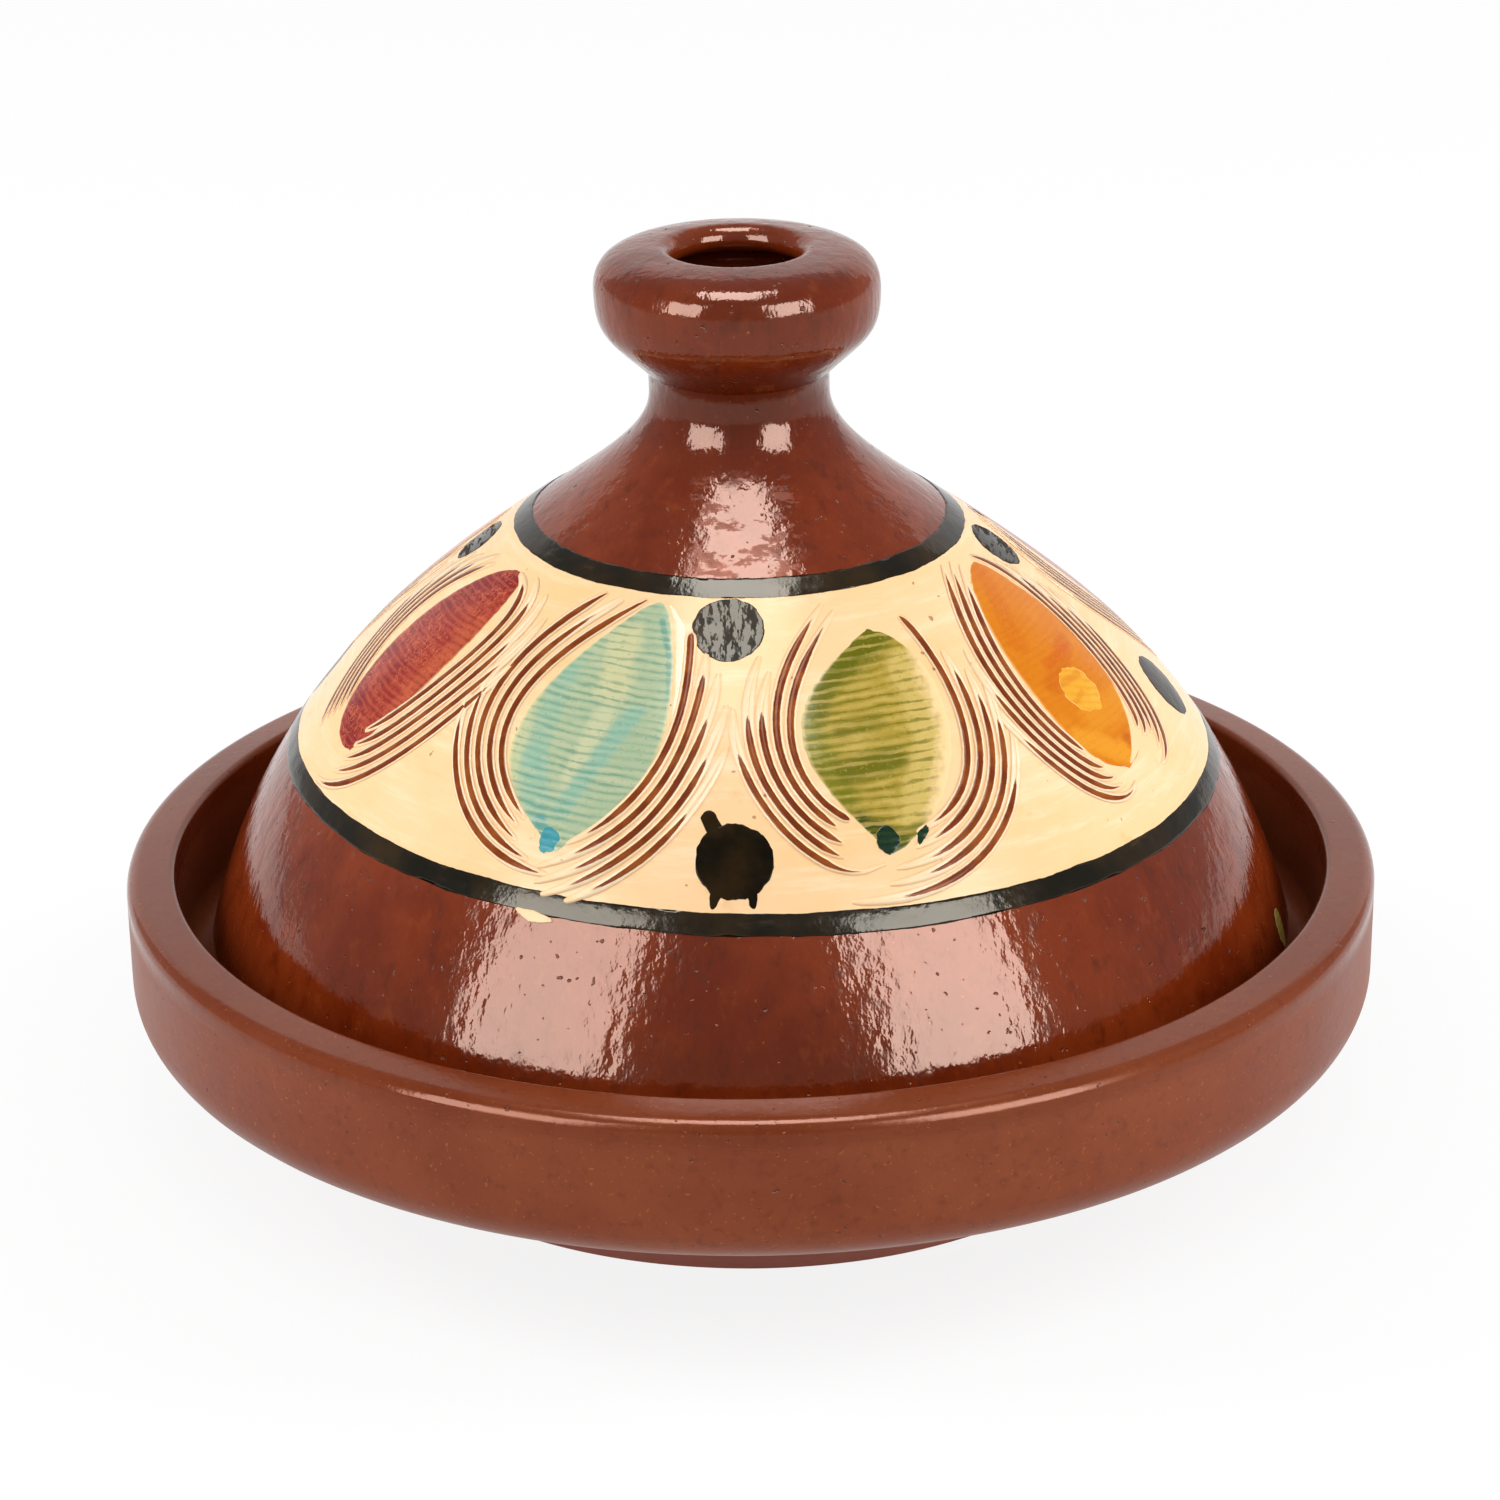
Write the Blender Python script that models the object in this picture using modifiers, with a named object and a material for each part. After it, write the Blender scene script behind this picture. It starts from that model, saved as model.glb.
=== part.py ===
"""A tagine: a shallow dish of fired clay, and the cone-shaped lid that stands inside its rim.

Metres, +Z up. The origin is the centre of the dish's foot, on the surface that it stands on,
and the front of the tagine faces -Y. Both pieces are thrown on a wheel, so each is one
outline turned about Z. The lid's steam vent is pierced through it afterwards.
"""
import math

import bmesh
import bpy
from mathutils import Vector

MM = 0.001

# The dish
DISH_RADIUS = 135.3 * MM
DISH_HEIGHT = 59.8 * MM
RIM_WIDTH = 10.6 * MM
RIM_FALL_ANGLE = 5.0
RIM_OUTER_ROUND = 3.2 * MM
RIM_INNER_ROUND = 1.4 * MM
FOOT_RADIUS = 85.5 * MM
FOOT_HEIGHT = 3.5 * MM
FOOT_ROUND = 0.8 * MM
BELLY_ANGLE = 28.5
BELLY_ROUND = 10.5 * MM
BELLY_WALL = 9.5 * MM
FLOOR_THICKNESS = 11.0 * MM
FLOOR_ROUND = 60.0 * MM
CORNER_ROUND = 6.0 * MM

# The lid
LID_PLAY = 7.5 * MM
SEAT_GAP = 0.3 * MM
LID_WALL = 8.6 * MM
SKIRT_HEIGHT = 9.2 * MM
CONE_RISE = 119.1 * MM
NECK_RADIUS = 18.9 * MM
NECK_HEIGHT = 4.3 * MM
KNOB_SWELL_RISE = 17.7 * MM
KNOB_RADIUS = 29.85 * MM
KNOB_CROWN_RISE = 9.0 * MM
KNOB_CROWN_ROUND = 3.6 * MM
KNOB_WALL = 9.5 * MM
MOUTH_RADIUS = 13.0 * MM
MOUTH_ROUND = 3.4 * MM
MOUTH_FALL_ANGLE = 12.0
CUP_DEPTH = 28.0 * MM
CUP_FLOOR_THICKNESS = 8.5 * MM
DOME_RISE = 9.0 * MM

# How full the lid's curves are: each pull is a share of the rise or the width that it spans
NECK_PULL = 0.195
SHOULDER_PULL = 0.678
SHOULDER_ANGLE = 75.5
KNOB_SIDE_PULL = 0.525
KNOB_FLARE_PULL = 0.70
KNOB_FLARE_ANGLE = 45.0
CUP_PULL = 0.58

# The steam vent, placed by its fall below the neck and its turn from +X towards +Y
VENT_RADIUS = 2.7 * MM
VENT_FALL = 34.0 * MM
VENT_TURN = 18.0

# The painted zone of the lid, by the falls of its edges below the neck
BAND_WIDTH = 4.2 * MM
UPPER_BAND_FALL = 26.2 * MM
LOWER_BAND_FALL = 76.2 * MM

# How finely the round shapes are cut
TURN_STEPS = 72
CORNER_PIECES = 4
SMALL_CORNER_PIECES = 3
LIP_PIECES = 6
CONE_PIECES = 15
SWELL_PIECES = 6
THROAT_PIECES = 3
DOME_PIECES = 4
FINE_PIECES = 60
VENT_SIDES = 20
MERGE_DISTANCE = 0.00001

# Colours and finish
DISH_BROWN = (0.216, 0.053, 0.024, 1.0)
LID_BROWN = (0.180, 0.036, 0.013, 1.0)
SLIP_CREAM = (0.900, 0.640, 0.340, 1.0)
BAND_BLACK = (0.019, 0.012, 0.006, 1.0)
DISH_ROUGHNESS = 0.35
LID_ROUGHNESS = 0.12


def polar(angle, length=1.0):
    """A step of the given length, at an angle in degrees from the outward direction."""
    turn = math.radians(angle)
    return Vector((length * math.cos(turn), length * math.sin(turn)))


def arc(centre, radius, start, end, pieces):
    """Points on a round stretch of the outline, from one angle in degrees to another."""
    return [centre + polar(start + (end - start) * i / pieces, radius) for i in range(pieces + 1)]


def curve(start, start_pull, end_pull, end, pieces):
    """Points on a cubic curve that leaves start and reaches end along the two pulls."""
    points = []
    for i in range(pieces + 1):
        t = i / pieces
        s = 1.0 - t
        points.append(s ** 3 * start + 3 * s * s * t * (start + start_pull)
                      + 3 * s * t * t * (end + end_pull) + t ** 3 * end)
    return points


def crossing(first, first_angle, second, second_angle):
    """Where two straight runs meet, each given by a point on it and its angle."""
    one = polar(first_angle)
    two = polar(second_angle)
    gap = second - first
    reach = (gap.x * two.y - gap.y * two.x) / (one.x * two.y - one.y * two.x)
    return first + one * reach


def rounded(before, corner, after, radius, pieces):
    """A corner of the outline, rounded with an arc that touches both of its sides."""
    back = (before - corner).normalized()
    ahead = (after - corner).normalized()
    half = back.angle(ahead) / 2
    centre = corner + (back + ahead).normalized() * (radius / math.sin(half))
    start = corner + back * (radius / math.tan(half)) - centre
    end = corner + ahead * (radius / math.tan(half)) - centre
    first = math.degrees(math.atan2(start.y, start.x))
    turn = math.degrees(math.atan2(start.x * end.y - start.y * end.x, start.dot(end)))
    return arc(centre, radius, first, first + turn, pieces)


def place_on(outline, height):
    """The point of an outline at a height, and the way that faces out of it there."""
    for high, low in zip(outline, outline[1:]):
        if high.y >= height > low.y:
            point = high + (low - high) * ((high.y - height) / (high.y - low.y))
            run = (low - high).normalized()
            return point, Vector((-run.y, run.x))
    raise ValueError("the outline doesn't reach this height")


# Heights and radii that follow from the sizes
WALL_RADIUS = DISH_RADIUS - RIM_WIDTH
BELLY_INSIDE = Vector((FOOT_RADIUS, FOOT_HEIGHT)) + polar(BELLY_ANGLE + 90, BELLY_WALL)
LIP_ROUND = LID_WALL / 2
LID_RADIUS = WALL_RADIUS - LID_PLAY
LIP_RADIUS = LID_RADIUS - LIP_ROUND
SEAT = crossing(BELLY_INSIDE + polar(BELLY_ANGLE + 90, LIP_ROUND + SEAT_GAP), BELLY_ANGLE,
                Vector((LIP_RADIUS, 0.0)), 90.0)
LIP_HEIGHT = SEAT.y
SKIRT_TOP = LIP_HEIGHT + SKIRT_HEIGHT
NECK_LOW = SKIRT_TOP + CONE_RISE
NECK_TOP = NECK_LOW + NECK_HEIGHT
KNOB_MIDDLE = NECK_TOP + KNOB_SWELL_RISE
LID_TOP = KNOB_MIDDLE + KNOB_CROWN_RISE
DRILL_LENGTH = 3 * LID_WALL


def dish_outline():
    """The dish, from the middle of its floor, over the rim and down its outer side."""
    floor = Vector((0.0, FLOOR_THICKNESS))
    floor_edge = crossing(floor, 0.0, BELLY_INSIDE, BELLY_ANGLE)
    corner = crossing(BELLY_INSIDE, BELLY_ANGLE, Vector((WALL_RADIUS, 0.0)), 90.0)
    rim_inside = Vector((WALL_RADIUS, DISH_HEIGHT))
    rim_outside = crossing(rim_inside, -RIM_FALL_ANGLE, Vector((DISH_RADIUS, 0.0)), 90.0)
    foot_top = Vector((FOOT_RADIUS, FOOT_HEIGHT))
    belly = crossing(foot_top, BELLY_ANGLE, Vector((DISH_RADIUS, 0.0)), 90.0)
    foot_edge = Vector((FOOT_RADIUS, 0.0))
    middle = Vector((0.0, 0.0))
    return ([floor]
            + rounded(floor, floor_edge, corner, FLOOR_ROUND, CORNER_PIECES)
            + rounded(floor_edge, corner, rim_inside, CORNER_ROUND, CORNER_PIECES)
            + rounded(corner, rim_inside, rim_outside, RIM_INNER_ROUND, SMALL_CORNER_PIECES)
            + rounded(rim_inside, rim_outside, belly, RIM_OUTER_ROUND, CORNER_PIECES)
            + rounded(rim_outside, belly, foot_top, BELLY_ROUND, CORNER_PIECES)
            + [foot_top]
            + rounded(foot_top, foot_edge, middle, FOOT_ROUND, SMALL_CORNER_PIECES)
            + [middle])


def cone_curve(pieces):
    """The lid's outer side from its neck to its skirt: hollow above, full at the shoulder."""
    neck = Vector((NECK_RADIUS, NECK_LOW))
    skirt = Vector((LID_RADIUS, SKIRT_TOP))
    return curve(neck, Vector((0.0, -NECK_PULL * CONE_RISE)),
                 polar(180 - SHOULDER_ANGLE, SHOULDER_PULL * CONE_RISE), skirt, pieces)


def knob_curve():
    """The knob's outer side, from its mouth over the widest ring to the crease at the neck."""
    round_centre = Vector((MOUTH_RADIUS + MOUTH_ROUND, LID_TOP - MOUTH_ROUND))
    mouth = arc(round_centre, MOUTH_ROUND, 180, 90 - MOUTH_FALL_ANGLE, CORNER_PIECES)
    widest = Vector((KNOB_RADIUS, KNOB_MIDDLE))
    crown_edge = crossing(mouth[-1], -MOUTH_FALL_ANGLE, widest, 90.0)
    crown = rounded(mouth[-1], crown_edge, widest, KNOB_CROWN_ROUND, CORNER_PIECES)
    flare = polar(KNOB_FLARE_ANGLE, KNOB_FLARE_PULL * KNOB_SWELL_RISE)
    swell = curve(widest, Vector((0.0, -KNOB_SIDE_PULL * KNOB_SWELL_RISE)),
                  flare, Vector((NECK_RADIUS, NECK_TOP)), SWELL_PIECES)
    return mouth + crown + swell


def cup_curve():
    """The hollow in the knob, from the middle of its floor up to the mouth."""
    floor = Vector((0.0, LID_TOP - CUP_DEPTH))
    side = Vector((KNOB_RADIUS - KNOB_WALL, KNOB_MIDDLE))
    mouth = Vector((MOUTH_RADIUS, LID_TOP - MOUTH_ROUND))
    bowl = curve(floor, Vector((CUP_PULL * side.x, 0.0)),
                 Vector((0.0, CUP_PULL * (floor.y - side.y))), side, SWELL_PIECES)
    throat = curve(side, Vector((0.0, CUP_PULL * (mouth.y - side.y))),
                   Vector((0.0, CUP_PULL * (side.y - mouth.y))), mouth, THROAT_PIECES)
    return bowl + throat[1:-1]


def inner_curve(outer):
    """The lid's inner side, one wall in from the outer one, from the lip up to its dome."""
    apex = Vector((0.0, LID_TOP - CUP_DEPTH - CUP_FLOOR_THICKNESS))
    side = []
    for before, here, after in zip(outer, outer[1:], outer[2:]):
        run = (after - before).normalized()
        inside = here + Vector((run.y, -run.x)) * LID_WALL
        if inside.y < apex.y - DOME_RISE:
            side.append(inside)
    side.reverse()
    lean = (side[-1] - side[-2]).normalized()
    dome = curve(side[-1], lean * (CUP_PULL * DOME_RISE),
                 Vector((CUP_PULL * side[-1].x, 0.0)), apex, DOME_PIECES)
    return [Vector((LID_RADIUS - LID_WALL, SKIRT_TOP))] + side + dome[1:]


def lid_outline():
    """The lid, from the floor of its knob's cup, over the knob, down and back up inside."""
    outer = cone_curve(CONE_PIECES)
    lip = arc(Vector((LIP_RADIUS, LIP_HEIGHT)), LIP_ROUND, 0, -180, LIP_PIECES)
    return cup_curve() + knob_curve() + outer + lip + inner_curve(outer)


def paint(name, colour, roughness):
    """A glaze of one colour."""
    material = bpy.data.materials.new(name)
    material.use_nodes = True
    shader = material.node_tree.nodes["Principled BSDF"]
    shader.inputs["Base Color"].default_value = colour
    shader.inputs["Roughness"].default_value = roughness
    shader.inputs["Metallic"].default_value = 0.0
    material.diffuse_color = colour
    return material


def painted_zone(material):
    """Adds the lid's cream zone between two black bands, by height."""
    tree = material.node_tree
    nodes = tree.nodes
    place = nodes.new("ShaderNodeTexCoord")
    parts = nodes.new("ShaderNodeSeparateXYZ")
    height = nodes.new("ShaderNodeMapRange")
    height.inputs["From Max"].default_value = NECK_LOW
    ramp = nodes.new("ShaderNodeValToRGB")
    ramp.color_ramp.interpolation = "CONSTANT"
    low = NECK_LOW - LOWER_BAND_FALL
    high = NECK_LOW - UPPER_BAND_FALL
    stops = [(low - BAND_WIDTH, BAND_BLACK), (low, SLIP_CREAM),
             (high - BAND_WIDTH, BAND_BLACK), (high, LID_BROWN)]
    ramp.color_ramp.elements.remove(ramp.color_ramp.elements[1])
    ramp.color_ramp.elements[0].color = LID_BROWN
    for level, colour in stops:
        ramp.color_ramp.elements.new(level / NECK_LOW).color = colour
    tree.links.new(place.outputs["Object"], parts.inputs["Vector"])
    tree.links.new(parts.outputs["Z"], height.inputs["Value"])
    tree.links.new(height.outputs["Result"], ramp.inputs["Fac"])
    tree.links.new(ramp.outputs["Color"], nodes["Principled BSDF"].inputs["Base Color"])


def turned(name, outline, material, collection):
    """A piece thrown on the wheel: its outline, turned once about Z."""
    mesh = bpy.data.meshes.new(name)
    build = bmesh.new()
    verts = [build.verts.new((point.x, 0.0, point.y)) for point in outline]
    for low, high in zip(verts, verts[1:]):
        build.edges.new((low, high))
    build.to_mesh(mesh)
    build.free()
    piece = bpy.data.objects.new(name, mesh)
    piece.data.materials.append(material)
    collection.objects.link(piece)
    screw = piece.modifiers.new("turn", "SCREW")
    screw.axis = "Z"
    screw.steps = TURN_STEPS
    screw.render_steps = TURN_STEPS
    screw.use_merge_vertices = True
    screw.merge_threshold = MERGE_DISTANCE
    screw.use_smooth_shade = True
    return piece


def pierce_vent(lid, collection):
    """The steam vent, square through the lid's wall just under its upper band."""
    point, facing = place_on(cone_curve(FINE_PIECES), NECK_LOW - VENT_FALL)
    bpy.ops.mesh.primitive_cylinder_add(vertices=VENT_SIDES, radius=VENT_RADIUS,
                                        depth=DRILL_LENGTH)
    drill = bpy.context.object
    drill.name = "vent_drill"
    for home in list(drill.users_collection):
        home.objects.unlink(drill)
    collection.objects.link(drill)
    middle = point - facing * (LID_WALL / 2)
    turn = math.radians(VENT_TURN)
    drill.location = (middle.x * math.cos(turn), middle.x * math.sin(turn), middle.y)
    drill.rotation_euler = (0.0, math.atan2(facing.x, facing.y), turn)
    drill.hide_render = True
    drill.display_type = "WIRE"
    cut = lid.modifiers.new("vent", "BOOLEAN")
    cut.operation = "DIFFERENCE"
    cut.solver = "EXACT"
    cut.object = drill


for old in list(bpy.data.objects):
    bpy.data.objects.remove(old)
tagine = bpy.data.collections.new("tagine")
cutters = bpy.data.collections.new("cutters")
bpy.context.scene.collection.children.link(tagine)
bpy.context.scene.collection.children.link(cutters)

dish = turned("dish", dish_outline(), paint("dish_glaze", DISH_BROWN, DISH_ROUGHNESS), tagine)
lid_glaze = paint("lid_glaze", LID_BROWN, LID_ROUGHNESS)
painted_zone(lid_glaze)
lid = turned("lid", lid_outline(), lid_glaze, tagine)
pierce_vent(lid, cutters)
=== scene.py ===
"""The looks of a tagine: a shallow dish of brown clay under a cone-shaped lid with a painted belt.

Metres, +Z up, the front towards -Y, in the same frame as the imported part. The dish and the lid
are thrown on a wheel, dipped and painted by hand, so the script throws, dips and paints them.
"""

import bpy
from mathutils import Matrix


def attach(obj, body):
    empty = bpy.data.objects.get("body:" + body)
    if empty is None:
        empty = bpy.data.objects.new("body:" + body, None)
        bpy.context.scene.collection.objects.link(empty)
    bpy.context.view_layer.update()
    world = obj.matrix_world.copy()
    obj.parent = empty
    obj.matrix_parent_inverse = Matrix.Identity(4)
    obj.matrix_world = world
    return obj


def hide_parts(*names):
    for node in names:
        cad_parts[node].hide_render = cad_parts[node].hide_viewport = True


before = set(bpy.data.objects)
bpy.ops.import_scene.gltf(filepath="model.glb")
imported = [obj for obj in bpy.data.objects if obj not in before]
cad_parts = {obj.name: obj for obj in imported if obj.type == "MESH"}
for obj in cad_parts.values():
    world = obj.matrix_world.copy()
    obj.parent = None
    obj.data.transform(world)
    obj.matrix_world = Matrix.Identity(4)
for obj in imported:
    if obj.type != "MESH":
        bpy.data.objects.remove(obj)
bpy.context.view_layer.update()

import math
import random

import bmesh
import bpy
from mathutils import Vector

MM = 0.001


# The dish: one piece of red-brown clay thrown on a wheel, with a broad flat rim and a belly that
# runs in to a low turned foot. A thin satin glaze covers it, except for the foot, and lets the
# grain and the iron specks of the clay show.
DISH_RADIUS = 135.3 * MM
DISH_HEIGHT = 59.8 * MM
RIM_WIDTH = 10.6 * MM
RIM_FALL_ANGLE = 5.0
RIM_OUTER_ROUND = 3.2 * MM
RIM_INNER_ROUND = 1.4 * MM
FOOT_RADIUS = 85.5 * MM
FOOT_HEIGHT = 3.5 * MM
FOOT_ROUND = 0.8 * MM
BELLY_ANGLE = 28.5
BELLY_ROUND = 10.5 * MM
BELLY_WALL = 9.5 * MM
FLOOR_THICKNESS = 11.0 * MM
FLOOR_ROUND = 60.0 * MM
CORNER_ROUND = 6.0 * MM
WALL_RADIUS = DISH_RADIUS - RIM_WIDTH
ROUND_PIECES = 12
DISH_RUN = 2.4 * MM
WHEEL_STEPS = 264
JOIN_DISTANCE = 0.001 * MM
STILL_MIDDLE = 12 * MM
BOW_STARTS = (94 * MM, 124 * MM)
BOW_ENDS = (158 * MM, 132 * MM)
DISH_HANDS = {"Wobble": 0.25 * MM, "Rings": 0.06 * MM, "Inward": 1.0, "Seed": 3.0}
BARE_FOOT_AND_BOUNCE = (4.6 * MM, 3.9 * MM)
SHINY_RIM = (52 * MM, 56 * MM)


def polar(angle, length=1.0):
    """A step of the given length, at an angle in degrees from the outward direction."""
    turn = math.radians(angle)
    return Vector((length * math.cos(turn), length * math.sin(turn)))


def arc(centre, radius, start, end, pieces):
    """Points on a round stretch of an outline, from one angle in degrees to another."""
    return [centre + polar(start + (end - start) * i / pieces, radius) for i in range(pieces + 1)]


def crossing(first, first_angle, second, second_angle):
    """Where two straight runs meet, each given by a point on it and its angle."""
    one = polar(first_angle)
    two = polar(second_angle)
    gap = second - first
    return first + one * ((gap.x * two.y - gap.y * two.x) / (one.x * two.y - one.y * two.x))


def rounded(before, corner, after, radius):
    """A corner of an outline, rounded with an arc that touches both of its sides."""
    back = (before - corner).normalized()
    ahead = (after - corner).normalized()
    half = back.angle(ahead) / 2
    centre = corner + (back + ahead).normalized() * (radius / math.sin(half))
    start = corner + back * (radius / math.tan(half)) - centre
    end = corner + ahead * (radius / math.tan(half)) - centre
    first = math.degrees(math.atan2(start.y, start.x))
    turn = math.degrees(math.atan2(start.x * end.y - start.y * end.x, start.dot(end)))
    return arc(centre, radius, first, first + turn, ROUND_PIECES)


def fine(points, longest):
    """The same outline with no run longer than this, so that the potter's wobble can bend it."""
    close = [points[0]]
    for here, there in zip(points, points[1:]):
        pieces = math.ceil((there - here).length / longest)
        close += [here.lerp(there, i / pieces) for i in range(1, pieces + 1)]
    return close


def upright(points):
    """A flat outline, stood up in the XZ plane."""
    return [Vector((p.x, 0, p.y)) for p in points]


def dish_outline():
    """The dish, from the middle of its floor, over the rim and down its outer side."""
    floor = Vector((0, FLOOR_THICKNESS))
    foot_top = Vector((FOOT_RADIUS, FOOT_HEIGHT))
    belly_inside = foot_top + polar(BELLY_ANGLE + 90, BELLY_WALL)
    floor_edge = crossing(floor, 0, belly_inside, BELLY_ANGLE)
    corner = crossing(belly_inside, BELLY_ANGLE, Vector((WALL_RADIUS, 0)), 90)
    rim_inside = Vector((WALL_RADIUS, DISH_HEIGHT))
    rim_outside = crossing(rim_inside, -RIM_FALL_ANGLE, Vector((DISH_RADIUS, 0)), 90)
    belly = crossing(foot_top, BELLY_ANGLE, Vector((DISH_RADIUS, 0)), 90)
    corners = [(floor, 0), (floor_edge, FLOOR_ROUND), (corner, CORNER_ROUND),
               (rim_inside, RIM_INNER_ROUND), (rim_outside, RIM_OUTER_ROUND),
               (belly, BELLY_ROUND), (foot_top, 0), (Vector((FOOT_RADIUS, 0)), FOOT_ROUND),
               (Vector((0, 0)), 0)]
    line = []
    for i, (here, radius) in enumerate(corners):
        line += rounded(corners[i - 1][0], here, corners[i + 1][0], radius) if radius else [here]
    return line


class Wire:
    """One output of a node. Sums and products of wires add the maths nodes that work them out."""

    def __init__(self, tree, socket):
        self.tree = tree
        self.socket = socket

    def beside(self, name):
        """Another output of the same node."""
        return Wire(self.tree, self.socket.node.outputs[name])

    def maths(self, operation, *others):
        return step(self.tree, "ShaderNodeMath", dict(enumerate((self,) + others)),
                    operation=operation)

    def vectors(self, operation, other, place=1, output=0):
        return step(self.tree, "ShaderNodeVectorMath", {0: self, place: other}, output,
                    operation=operation)

    def into(self, kind, feeds, output=0, **settings):
        """This shape, put into the first input of a node that works on shapes."""
        return shape(self.tree, kind, {0: self, **feeds}, output, **settings)

    def stretched(self, *shares):
        return self.vectors("MULTIPLY", shares)

    def __add__(self, other):
        return self.maths("ADD", other)

    def __sub__(self, other):
        return self.maths("SUBTRACT", other)

    def __mul__(self, other):
        return self.maths("MULTIPLY", other)

    def __truediv__(self, other):
        return self.maths("DIVIDE", other)

    def __abs__(self):
        return self.maths("ABSOLUTE")


def step(tree, kind, feeds, output=0, **settings):
    """Adds a node to a tree, sets it and feeds its inputs, and gives the wire of one output."""
    node = tree.nodes.new(kind)
    for name, value in settings.items():
        setattr(node, name, value)
    for place, value in feeds.items():
        if isinstance(value, Wire):
            tree.links.new(value.socket, node.inputs[place])
        else:
            node.inputs[place].default_value = value
    return Wire(tree, node.outputs[output])


def shape(tree, kind, feeds, output=0, **settings):
    """The same for a node that works on shapes."""
    return step(tree, "GeometryNode" + kind, feeds, output, **settings)


def split(wire):
    """The three numbers of a vector."""
    parts = step(wire.tree, "ShaderNodeSeparateXYZ", {0: wire})
    return parts, parts.beside("Y"), parts.beside("Z")


def joined(x, y, z):
    """A vector from its three numbers, at least one of them a wire."""
    tree = next(part.tree for part in (x, y, z) if isinstance(part, Wire))
    return step(tree, "ShaderNodeCombineXYZ", {"X": x, "Y": y, "Z": z})


def turned(away, turn, height):
    """The place that far from the axis, at a turn about it and a height."""
    return joined(away * turn.maths("COSINE"), away * turn.maths("SINE"), height)


def between(wire, low, high, bottom=0, top=1):
    """How far a number lies from low to high, held to that range, and eased."""
    return step(wire.tree, "ShaderNodeMapRange",
                {"Value": wire, "From Min": low, "From Max": high, "To Min": bottom,
                 "To Max": top}, interpolation_type="SMOOTHSTEP")


def grain(place, scale, seed=0, detail=2, rough=0.5):
    """A soft random pattern, with features about one over scale metres apart."""
    return step(place.tree, "ShaderNodeTexNoise",
                {"Vector": place, "W": seed, "Scale": scale, "Detail": detail,
                 "Roughness": rough}, noise_dimensions="4D")


KINDS = {"Geometry": "Geometry", "Steps": "Int", "Place": "Vector", "Finish": "Material"}
HAND_SIZES = ("Lean", "Lean From", "Bow", "Wobble", "Rings", "Inward", "Seed")


def new_group(name, labels, result="Geometry"):
    """An empty node group, its inputs as wires, and the node that its result goes to. An input
    is a plain number if KINDS doesn't say what else it is."""
    tree = bpy.data.node_groups.new(name, "GeometryNodeTree")
    for label in labels:
        tree.interface.new_socket(label, in_out="INPUT",
                                  socket_type="NodeSocket" + KINDS.get(label, "Float"))
    tree.interface.new_socket(result, in_out="OUTPUT", socket_type="NodeSocket" + KINDS[result])
    start = tree.nodes.new("NodeGroupInput")
    given = {label: Wire(tree, start.outputs[label]) for label in labels}
    return tree, given, tree.nodes.new("NodeGroupOutput")


def hand_group():
    """What the potter's hands add: a lean, a bow, a slow wobble and the rings of the wheel."""
    tree, given, end = new_group("thrown by hand", ("Place", *HAND_SIZES), "Place")
    spot = given["Place"]
    seed = given["Seed"]
    x, y, z = split(spot)
    level = joined(x, y, 0)
    slow = (grain(spot, 13, seed, 0) - 0.5) * 1.6 + (grain(spot, 46, seed + 5, 0) - 0.5) * 0.6
    ring = (grain(joined(0, 0, z), 190, seed, 1) - 0.5) * 2
    swing = (slow - given["Inward"]) * given["Wobble"] + (ring - given["Inward"]) * given["Rings"]
    swing = swing * between(level.vectors("LENGTH", (0, 0, 0), output="Value"), 0, STILL_MIDDLE)
    out = level.vectors("NORMALIZE", (0, 0, 0)).vectors("SCALE", swing, "Scale")
    bow = between(z, *BOW_STARTS) * between(z, *BOW_ENDS)
    shear = (z - given["Lean From"]) * given["Lean"] - bow * given["Bow"]
    moved = spot.vectors("ADD", out).vectors("ADD", joined(shear, 0, 0))
    tree.links.new(moved.socket, end.inputs[0])
    return tree


HANDS = hand_group()


def by_hand(place, given):
    """The place that the potter's hands give to a point of a perfect shape."""
    return shape(place.tree, "Group", {"Place": place, **{name: given[name] for name in HAND_SIZES}},
                 node_tree=HANDS)


def close_up(mesh, place, given, end, flip):
    """The last steps of each tree: places the points, joins the seams and gives the finish."""
    mesh = mesh.into("SetPosition", {"Position": place})
    mesh = mesh.into("MergeByDistance", {"Distance": JOIN_DISTANCE})
    if flip:
        mesh = mesh.into("FlipFaces", {})
    mesh = mesh.into("SetShadeSmooth", {"Shade Smooth": True}).into("RealizeInstances", {})
    mesh = mesh.into("SetMaterial", {"Material": given["Finish"]})
    mesh.tree.links.new(mesh.socket, end.inputs[0])


def rows_and_columns(rows, columns):
    """A flat sheet of points, with the row and the column of each."""
    sheet = shape(rows.tree, "MeshGrid", {"Size X": 1, "Size Y": 1, "Vertices X": rows,
                                          "Vertices Y": columns})
    index = shape(rows.tree, "InputIndex", {})
    row = (index / columns).maths("FLOOR")
    return sheet, row, index - row * columns


def carried_round(given):
    """A sheet for a section that goes once round: each point's turn, and its place in the section."""
    section = given["Geometry"]
    points = section.into("AttributeDomainSize", {}, "Point Count")
    sheet, ring, row = rows_and_columns(given["Steps"] + 1, points)
    position = shape(section.tree, "InputPosition", {})
    place = section.into("SampleIndex", {"Value": position, "Index": row}, "Value",
                         data_type="FLOAT_VECTOR")
    return sheet, ring / given["Steps"] * math.tau, place


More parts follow.
